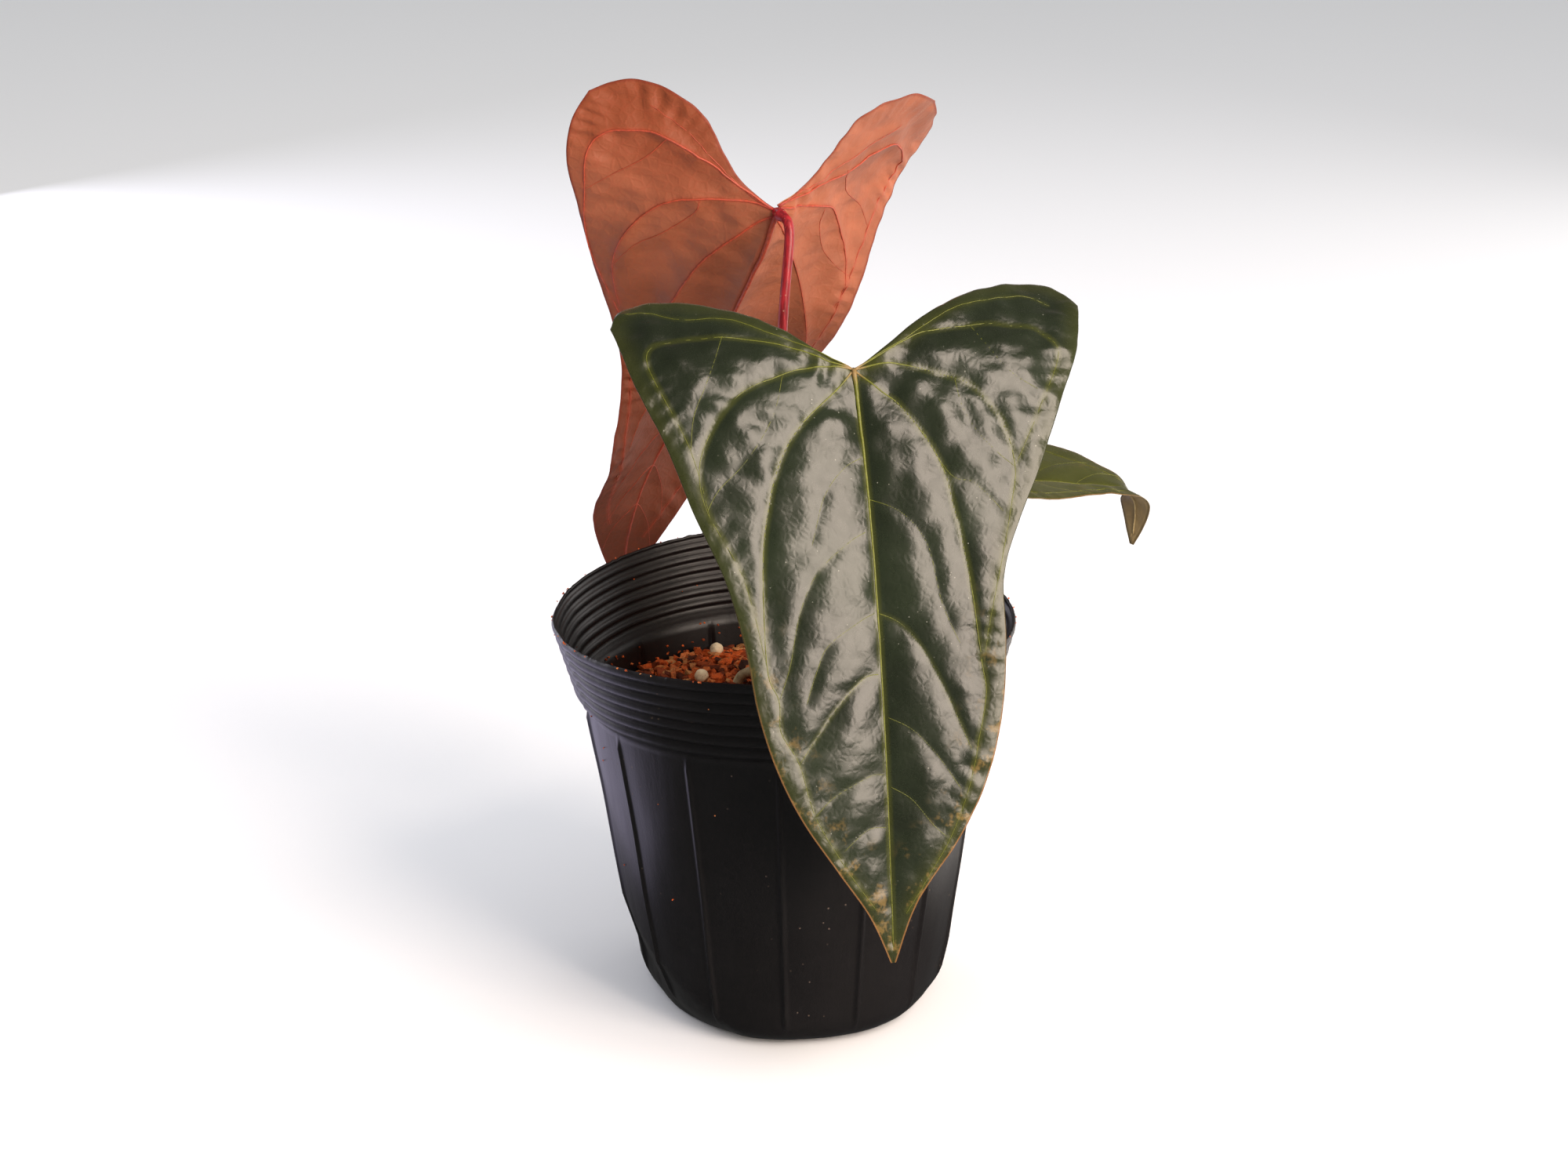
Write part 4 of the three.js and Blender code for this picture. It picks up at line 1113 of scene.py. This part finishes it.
def leaf_kinds(kit):
    """For each leaf: finishes of its two sides, of its veins on each side, and of its stalk."""
    red, green = kit.stalk_red, kit.stalk_green
    red_stalk = stalk_finish("red stalk", red, shade(red, 1.6))
    green_stalk = stalk_finish("green stalk", green, (0.16, 0.06, 0.04))
    # In each underside's finish the last colour is its painted tone: painted shade on the dark and
    # copper leaves, and painted light, lighter than tan, on the green leaf's tip, which faces away
    # from the lamps.
    return {
        "front": (
            [leaf_upper("dark leaf upper side", kit.dark, kit.dark_vein, RUST, 0.12),
             leaf_under("dark leaf underside", (0.17, 0.16, 0.09), (0.2, 0.09, 0.03),
                        (0.13, 0.11, 0.06))],
            [vein_finish("yellow-green veins", shade(kit.dark_vein, 0.48), (0.30, 0.16, 0.08)),
             vein_finish("dark leaf under veins", (0.3, 0.22, 0.09), (0.3, 0.08, 0.05))],
            "dark_blade", green_stalk, "green_stalk"),
        "back": (
            [leaf_upper("copper leaf upper side", (0.12, 0.045, 0.025), (0.4, 0.18, 0.06), RUST,
                        0.2),
             leaf_under("copper leaf underside", kit.bronze, kit.bronze_vein,
                        (0.16, 0.036, 0.012))],
            [vein_finish("copper leaf upper veins", (0.38, 0.16, 0.06), (0.4, 0.1, 0.07)),
             vein_finish("copper leaf under veins", kit.bronze_vein, shade(red, 1.2))],
            "bronze_blade", red_stalk, "red_stalk"),
        "side": (
            [leaf_upper("green leaf upper side", kit.green, kit.dark_vein, RUST, 0.1, wear=0.15),
             leaf_under("green leaf underside", TAN, (0.16, 0.12, 0.05), shade(TAN, 1.7))],
            [vein_finish("green leaf veins", shade(kit.dark_vein, 0.5), (0.3, 0.12, 0.08)),
             vein_finish("green leaf under veins", (0.26, 0.2, 0.09), (0.3, 0.1, 0.05))],
            "green_blade", green_stalk, "green_stalk"),
    }


# ------------------------------------------------------------------ stem, sheaths and roots

STEM_RING_SWELL, STEM_RING_PITCH = 0.6, 6.75
STEM_FOOT_SHARE = 0.6
SHEATH_ANGLES = (115, 245, 0)
SHEATH_RADIUS, SHEATH_FLARE, SHEATH_THICKNESS = 7.9, 1.8, 0.35
SHEATH_HALF_ARC, SHEATH_TAPER = math.radians(47), 0.92
# Each root's direction, reach and depth.
ROOTS = ((160, 15, 22), (215, 12, 26), (300, 14, 24), (50, 13, 20))
ROOT_START, ROOT_RADIUS = 7.4, 1.6


def make_stem(material):
    """A short ringed stock, turned and then roughened."""
    low, high = STEM_LOW, STEM_HIGH
    radius = (high.x - low.x) / 2 - STEM_RING_SWELL
    rows = [(0, low.z), (STEM_FOOT_SHARE * radius, low.z + 0.5)]
    for z in np.linspace(low.z + 3, high.z, 60):
        ring = STEM_RING_SWELL * abs(math.sin(math.pi * (z - GROUND) / STEM_RING_PITCH)) ** 0.6
        foot = STEM_FOOT_SHARE + (1 - STEM_FOOT_SHARE) * smoothstep(z, low.z, GROUND)
        rows.append(((radius + ring) * foot, z))
    rows += [(radius - 1.2, high.z + 0.6), (0, high.z + 0.8)]
    bm = turned(rows, 72)
    for vert in bm.verts:
        bump = rough_noise(vert.co.x / 2, vert.co.y / 2, vert.co.z / 3)
        bump += 0.5 * rough_noise(vert.co.x, vert.co.y, vert.co.z)
        vert.co.xy *= 1 + 0.04 * bump
    bmesh.ops.translate(bm, verts=bm.verts, vec=(STEM_MIDDLE.x, STEM_MIDDLE.y, 0))
    finish_piece("stem_stock", bm, [material], ["stem"])


def make_sheaths(material):
    """Papery scales that wrap the stem: each keeps its node's place and gets a torn edge."""
    for index, angle in enumerate(SHEATH_ANGLES, 1):
        low, high = node_box(f"sheath_{index}")
        bm = thick_sheet(36, 44)
        for vert in bm.verts:
            x, rise, inner = 2 * vert.co.x, vert.co.y + 0.5, vert.co.z < -0.5
            tear = 0.05 * rough_noise(9 * rise, 3 * x, index)
            half_arc = SHEATH_HALF_ARC * (1 - SHEATH_TAPER * rise ** 1.5 + tear)
            turn = math.radians(angle) - x * half_arc
            crinkle = 0.3 * rough_noise(4 * x, 6 * rise, index + 5)
            radius = SHEATH_RADIUS + SHEATH_FLARE * rise ** 2 + crinkle * rise
            radius -= SHEATH_THICKNESS * inner
            vert.co = (STEM_MIDDLE.x + radius * math.cos(turn),
                       STEM_MIDDLE.y + radius * math.sin(turn), low.z + rise * (high.z - low.z))
        bmesh.ops.recalc_face_normals(bm, faces=bm.faces)
        finish_piece(f"sheath_scale_{index}", bm, [material], [f"sheath_{index}"])


def make_roots(material):
    """Fleshy roots that arch out of the stem and dive into the mix."""
    for index, (angle, reach, depth) in enumerate(ROOTS, 1):
        out = Vector((math.cos(math.radians(angle)), math.sin(math.radians(angle)), 0))
        nodes = []
        for share, rise in ((-0.18, 4.6), (0, 5), (0.35, 5.6), (0.75, 2.5), (0.95, -0.4 * depth),
                            (1.05, -depth)):
            far = STEM_MIDDLE + out * (ROOT_START + share * reach)
            nodes.append(Vector((far.x, far.y, GROUND + rise)))
        points = [Vector(row) for row in curve_through(nodes, 70)]
        radii = [ROOT_RADIUS * (1 + 0.12 * rough_noise(k / 5, index)) for k in range(len(points))]
        radii[-1] = 0.3
        bm = bmesh.new()
        sweep(bm, points, radii, 16)
        bmesh.ops.recalc_face_normals(bm, faces=bm.faces)
        finish_piece(f"fleshy_root_{index}", bm, [material], [f"root_{index}"])


# ------------------------------------------------------------------ potting mix

# The mound falls this far from its crown to the wall.
MOUND_FALL = 6
CHIP_SHAPE = (1.0, 0.6, 0.38)
STEM_CLEARANCE = 8
STUCK_BITS, STUCK_DIRECTION = 90, 115
LIP_GRAINS, GROOVE_GRAINS, WALL_GRAINS = 60, 50, 40
BALLS, CHIPS = 7, 9


def axis_x(z):
    """Where the pot's leaning middle is at a height."""
    return BASE_SHIFT * (1 - z / POT_HEIGHT)


def ringed(angle, distance, z, lift=0.0):
    """A place round the pot's middle at a height."""
    return Vector((distance * math.cos(angle) + axis_x(z), distance * math.sin(angle), z + lift))


def mound_z(distance):
    return MIX_HIGH.z - MOUND_FALL * min(1, distance / MIX_EDGE) ** 2


def on_mound(angle, distance):
    return ringed(angle, distance, mound_z(distance))


def body_radius(z):
    return BASE_RADIUS + (BODY_TOP_RADIUS - BASE_RADIUS) * z / BODY_TOP


def collar_radius(z):
    share = (z - COLLAR_FOOT) / COLLAR_HEIGHT
    return COLLAR_FOOT_RADIUS + (RIM_RADIUS - COLLAR_FOOT_RADIUS) * share


def make_mix_body(settings):
    """The body of the mix: a turned block whose top is broken up into lumps."""
    low, edge = MIX_LOW.z, MIX_EDGE
    rows = [(0, low), (36, low), (43, low + 7), (edge - 5, 70), (edge + 0.3, mound_z(edge))]
    rows += [(share * edge, mound_z(share * edge)) for share in np.linspace(0.98, 0, 60)]
    bm = turned(rows, 220)
    for vert in bm.verts:
        x, y, z = vert.co
        on_top = z > low + 30
        if on_top:
            bank = 2.5 * smoothstep(math.hypot(x, y), edge - 9, edge) * rough_noise(x / 6, y / 6, 8)
            lump = 1.6 * rough_noise(x / 5, y / 5) + rough_noise(x / 2.2, y / 2.2, 4)
            z += lump - 1 + bank
        vert.co = (x + axis_x(z), y, z)
    finish_piece("mix_body", bm, [mix_finish(settings)], ["potting_mix"])


def add_lump(bm, layer, place, turn, size, tone, chance, subdivisions=1, roughness=0.28):
    """An angular chip: a coarse ball is stretched, and each corner is pushed in or out."""
    made = bmesh.ops.create_icosphere(bm, subdivisions=subdivisions, radius=1)["verts"]
    for vert in made:
        vert.co *= 1 + chance.uniform(-roughness, roughness)
        vert[layer] = tone
    stretch = Matrix.Diagonal((*size, 1))
    bmesh.ops.transform(bm, verts=made, matrix=Matrix.Translation(place) @ turn.to_4x4() @ stretch)
    return made


def random_turn(chance, tilt):
    """Any turn round Z, and then a lean of up to the tilt, in radians."""
    around = Quaternion((0, 0, 1), chance.uniform(0, 2 * math.pi))
    axis = (chance.uniform(-1, 1), chance.uniform(-1, 1), 0.01)
    lean = Quaternion(axis, chance.uniform(-tilt, tilt))
    return (lean @ around).to_matrix()


def make_bits(settings, material):
    """Loose chips over the whole of the mix, and a few that stick to the wall above it."""
    chance = random.Random(7)

    def add_chip(part, tone, index):
        angle = chance.uniform(0, 2 * math.pi)
        place = on_mound(angle, 0.985 * MIX_EDGE * math.sqrt(chance.random()))
        if (place - STEM_MIDDLE).xy.length < STEM_CLEARANCE:
            return
        long = chance.triangular(0.8, 4.2, 1.5)
        place.z += chance.uniform(-0.9, 1.4)
        size = [long * share * chance.uniform(0.7, 1.2) for share in CHIP_SHAPE]
        add_lump(part, tone, place, random_turn(chance, 0.8), size, chance.random(), chance)

    def add_stuck(part, tone, index):
        angle = math.radians(chance.gauss(STUCK_DIRECTION, 55))
        z = 97 + 9 * chance.random() ** 2
        place = ringed(angle, body_radius(z) - 1.1, z)
        size = [chance.uniform(0.3, 0.8)] * 2 + [chance.uniform(0.2, 0.5)]
        add_lump(part, tone, place, random_turn(chance, 1), size, chance.uniform(0.2, 0.8), chance)

    bm = bmesh.new()
    gather(bm, settings.bits, add_chip)
    gather(bm, STUCK_BITS, add_stuck)
    finish_piece("mix_bits", bm, [material], smooth=False)


def make_specks(material):
    """Grains of mix left along the lip, in the collar's grooves and on the wall."""
    chance = random.Random(11)

    def add_grain(part, tone, index):
        angle = chance.uniform(0, 2 * math.pi)
        if index < LIP_GRAINS:
            z, radius = POT_HEIGHT - 0.1, RIM_RADIUS - 0.4
        elif index < LIP_GRAINS + GROOVE_GRAINS:
            z = chance.uniform(108, 131)
            radius = collar_radius(z) - 1.5
        else:
            z = chance.uniform(40, 131)
            radius = body_radius(z) + 0.2 if z < COLLAR_FOOT - 3 else collar_radius(z)
        dip = RIM_SADDLE * math.cos(2 * angle) * (z / POT_HEIGHT) ** 4
        place = ringed(angle, radius, z, -dip)
        size = [chance.uniform(0.12, 0.42) for _ in range(3)]
        add_lump(part, tone, place, random_turn(chance, 2), size, chance.uniform(0.3, 0.9), chance)

    bm = bmesh.new()
    gather(bm, LIP_GRAINS + GROOVE_GRAINS + WALL_GRAINS, add_grain)
    finish_piece("rim_specks", bm, [material], smooth=False)


def make_fibres(settings, material):
    """Coir fibres: thin curved bars that lie on the chips."""
    chance = random.Random(5)

    def add_fibre(part, tone, index):
        angle = chance.uniform(0, 2 * math.pi)
        place = on_mound(angle, (MIX_EDGE - 6) * math.sqrt(chance.random()))
        place.z += chance.uniform(0.2, 2.2)
        heading, bend = chance.uniform(0, 2 * math.pi), chance.uniform(-0.5, 0.5)
        reach = chance.uniform(1.2, 3.2)
        points = []
        for k in range(6):
            points.append(place.copy())
            heading += bend
            step = Vector((math.cos(heading), math.sin(heading), chance.uniform(-0.18, 0.14)))
            place += step * reach / 2
        radii = [chance.uniform(0.07, 0.16)] * len(points)
        sweep(part, points, radii, 4, tone, [chance.uniform(0.2, 0.9)] * len(points))

    bm = bmesh.new()
    gather(bm, settings.fibres, add_fibre, batch_size=4)
    bmesh.ops.recalc_face_normals(bm, faces=bm.faces)
    finish_piece("mix_fibres", bm, [material])


def make_balls(settings):
    """Cream balls: each is a fine ball pushed slightly out of round."""
    material = ball_finish(settings)
    for index in range(1, BALLS + 1):
        low, high = node_box(f"ball_{index}")
        bm = bmesh.new()
        bmesh.ops.create_icosphere(bm, subdivisions=4, radius=settings.ball_radius / MM)
        for vert in bm.verts:
            place = vert.co.normalized()
            lump = rough_noise(1.4 * place.x + index, 1.4 * place.y, 1.4 * place.z)
            lump += 0.35 * rough_noise(5 * place.x, 5 * place.y + index, 5 * place.z)
            vert.co *= 1 + 0.07 * lump
        bmesh.ops.translate(bm, verts=bm.verts, vec=(low + high) / 2)
        finish_piece(f"cream_ball_{index}", bm, [material], [f"ball_{index}"])


def make_chips(material):
    """The larger chips: layered and broken at the ends, in the places of their nodes."""
    chance = random.Random(3)
    for index in range(1, CHIPS + 1):
        low, high = node_box(f"chip_{index}")
        bm = bmesh.new()
        layer = bm.verts.layers.float.new("tone")
        tone = 0.45 + 0.5 * chance.random()
        made = add_lump(bm, layer, Vector(), Matrix.Identity(3), (1, 1, 1), tone, chance,
                        subdivisions=4, roughness=0.0)
        half = (high - low) / 2
        for vert in made:
            squared = Vector([math.copysign(abs(part) ** 0.4, part) for part in vert.co])
            layers = 0.07 * math.sin(9 * squared.z + 4 * rough_noise(*(3 * squared)))
            bump = 0.3 * rough_noise(*(1.3 * squared + Vector((index, 0, 0)))) + layers
            bump += 0.12 * rough_noise(*(5 * squared))
            scaled = squared * (0.8 + bump)
            vert.co = [scaled[i] * half[i] for i in range(3)]
        bmesh.ops.translate(bm, verts=bm.verts, vec=(low + high) / 2)
        finish_piece(f"bark_piece_{index}", bm, [material], [f"chip_{index}"])


# ------------------------------------------------------------------ stage

CAMERA_RISE, CAMERA_DIP = math.radians(20.3), math.radians(19.87)
CAMERA_TARGET_Z = 0.132
SENSOR_WIDTH = 36
FLOOR_SIZE, FLOOR_DROP = 12, 0.0003
CARD_SIZE, CARD_DROP, CARD_GLOW = 0.6, 0.002, 1.4
# Name, place, target, size, power and tint of each softbox, in metres and watts.
LAMPS = (
    ("key softbox", (0.70, -0.70, 0.75), (0, -0.05, 0.6), (0.6, 1.45), 30, (1, 0.84, 0.72)),
    ("left softbox", (-0.95, 0.75, 0.45), (0, 0, 0.3), (1.3, 0.86), 8, (0.92, 0.89, 1)),
    ("right softbox", (1.1, 0.8, 0.45), (0, 0, 0.3), (0.9, 0.86), 5, (1, 0.95, 0.92)),
    ("top softbox", (0, 0.5, 2.6), (0, 0.5, 0), (9, 9), 170, (1, 1, 1)),
)


def aim(item, target):
    item.rotation_euler = (target - item.location).to_track_quat("-Z", "Y").to_euler()


def add_lamp(name, place, target, size, power, tint):
    lamp = bpy.data.lights.new(name, "AREA")
    lamp.shape = "RECTANGLE"
    lamp.size, lamp.size_y = size
    lamp.energy = power
    lamp.color = tint
    item = bpy.data.objects.new(name, lamp)
    item.location = place
    aim(item, Vector(target))
    bpy.context.scene.collection.objects.link(item)
    return item


def stage_sheet(name, size, place, material):
    """A flat square of the studio, in metres."""
    bm = bmesh.new()
    bmesh.ops.create_grid(bm, x_segments=1, y_segments=1, size=size)
    bmesh.ops.translate(bm, verts=bm.verts, vec=place)
    sheet = add_object(name, bm, [material])
    return sheet


def make_floor(settings):
    """A plain floor that gloss doesn't see, so that the plastic and the leaves keep their darks."""
    material = Finish("pale floor").surface(settings.floor, 0.9)
    floor = stage_sheet("studio_floor", FLOOR_SIZE, (0, 0, -FLOOR_DROP), material)
    floor.visible_glossy = False


def make_cards():
    """Dim cards on the floor behind the pot, which only gloss can see: they edge the pot's wall."""
    for name, x, tint in (("left", -0.72, (0.80, 0.74, 1.0)), ("right", 0.72, (1.0, 0.93, 0.87))):
        f = Finish(name + " card")
        glow = f.add("Emission", inputs={"Color": (*tint, 1), "Strength": CARD_GLOW})
        material = f.shown_as(glow)
        material.cycles.emission_sampling = "NONE"
        card = stage_sheet(name + "_card", CARD_SIZE, (x, 0.57, -CARD_DROP), material)
        card.visible_camera = card.visible_diffuse = card.visible_shadow = False


def make_camera(settings):
    """Looks along +Y and down from above the front of the pot."""
    camera = bpy.data.cameras.new("camera")
    camera.lens = settings.lens
    camera.sensor_width = SENSOR_WIDTH
    camera.clip_start = 0.05
    item = bpy.data.objects.new("camera", camera)
    distance = settings.camera_distance
    item.location = (0, -distance * math.cos(CAMERA_RISE),
                     CAMERA_TARGET_Z + distance * math.sin(CAMERA_RISE))
    item.rotation_euler = (math.pi / 2 - CAMERA_DIP, 0, 0)
    bpy.context.scene.collection.objects.link(item)
    bpy.context.scene.camera = item


def make_world():
    """A faint even light from all round, and plain display of the colours."""
    world = bpy.data.worlds.new("studio")
    world.use_nodes = True
    back = world.node_tree.nodes["Background"]
    back.inputs["Color"].default_value = (1, 0.99, 0.98, 1)
    back.inputs["Strength"].default_value = 0.1
    bpy.context.scene.world = world
    bpy.context.scene.view_settings.view_transform = "Standard"


# ------------------------------------------------------------------ operators

class ANTHURIUM_OT_pot(bpy.types.Operator):
    """Build the soft ribbed pot"""
    bl_idname = "anthurium.pot"
    bl_label = "Pot"

    def execute(self, context):
        make_pot(context.scene.anthurium_pot)
        return {"FINISHED"}


class ANTHURIUM_OT_mix(bpy.types.Operator):
    """Build the potting mix with its chips, fibres and balls"""
    bl_idname = "anthurium.mix"
    bl_label = "Potting mix"

    def execute(self, context):
        settings = context.scene.anthurium_mix
        bark = bark_finish(settings)
        make_mix_body(settings)
        make_bits(settings, bark)
        make_fibres(settings, bark)
        make_specks(bark)
        make_balls(settings)
        make_chips(bark)
        return {"FINISHED"}


class ANTHURIUM_OT_leaves(bpy.types.Operator):
    """Build the three blades with their veins and stalks"""
    bl_idname = "anthurium.leaves"
    bl_label = "Leaves"

    def execute(self, context):
        kit = context.scene.anthurium_leaf
        for name, (sides, veins, slot, stalk, stalk_slot) in leaf_kinds(kit).items():
            blade = make_blade(name, kit, sides)
            make_veins(blade, kit, veins)
            make_petiole(blade, kit, stalk)
        return {"FINISHED"}


class ANTHURIUM_OT_stock(bpy.types.Operator):
    """Build the stem with its sheaths and roots"""
    bl_idname = "anthurium.stock"
    bl_label = "Stem and roots"

    def execute(self, context):
        make_stem(fibrous_finish("stem", (0.16, 0.14, 0.05), (0.07, 0.05, 0.02),
                                 scale=(300, 300, 160), rough=0.6))
        make_sheaths(fibrous_finish("papery sheath", (0.33, 0.2, 0.1), (0.12, 0.06, 0.03)))
        make_roots(fibrous_finish("fleshy root", (0.52, 0.42, 0.24), (0.24, 0.16, 0.08),
                                  scale=(260, 260, 260)))
        return {"FINISHED"}


class ANTHURIUM_OT_stage(bpy.types.Operator):
    """Set up the floor, lamps and camera"""
    bl_idname = "anthurium.stage"
    bl_label = "Studio"

    def execute(self, context):
        settings = context.scene.anthurium_stage
        make_floor(settings)
        make_cards()
        make_camera(settings)
        make_world()
        lamps = [add_lamp(*row) for row in LAMPS]
        lamps[-1].visible_glossy = lamps[-1].visible_camera = False
        return {"FINISHED"}


OPERATORS = (ANTHURIUM_OT_pot, ANTHURIUM_OT_mix, ANTHURIUM_OT_leaves, ANTHURIUM_OT_stock,
             ANTHURIUM_OT_stage)


class ANTHURIUM_PT_panel(bpy.types.Panel):
    """Lists the sizes, the colours and the pieces"""
    bl_idname = "ANTHURIUM_PT_panel"
    bl_label = "Potted anthurium"
    bl_space_type = "VIEW_3D"
    bl_region_type = "UI"
    bl_category = "Anthurium"

    def draw(self, context):
        for operator in OPERATORS:
            self.layout.operator(operator.bl_idname)
        for name in GROUPS:
            group = getattr(context.scene, name)
            box = self.layout.box()
            for field in group.__annotations__:
                box.prop(group, field)


GROUPS = {"anthurium_pot": PotSettings, "anthurium_leaf": LeafSettings,
          "anthurium_mix": MixSettings, "anthurium_stage": StageSettings}


def register():
    for item in (*GROUPS.values(), *OPERATORS, ANTHURIUM_PT_panel):
        bpy.utils.register_class(item)
    for name, group in GROUPS.items():
        setattr(bpy.types.Scene, name, PointerProperty(type=group))


def unregister():
    for name in GROUPS:
        delattr(bpy.types.Scene, name)
    for item in reversed((*GROUPS.values(), *OPERATORS, ANTHURIUM_PT_panel)):
        bpy.utils.unregister_class(item)


def main():
    register()
    bpy.ops.anthurium.stage()
    bpy.ops.anthurium.pot()
    bpy.ops.anthurium.mix()
    bpy.ops.anthurium.leaves()
    bpy.ops.anthurium.stock()


if __name__ == "__main__":
    main()
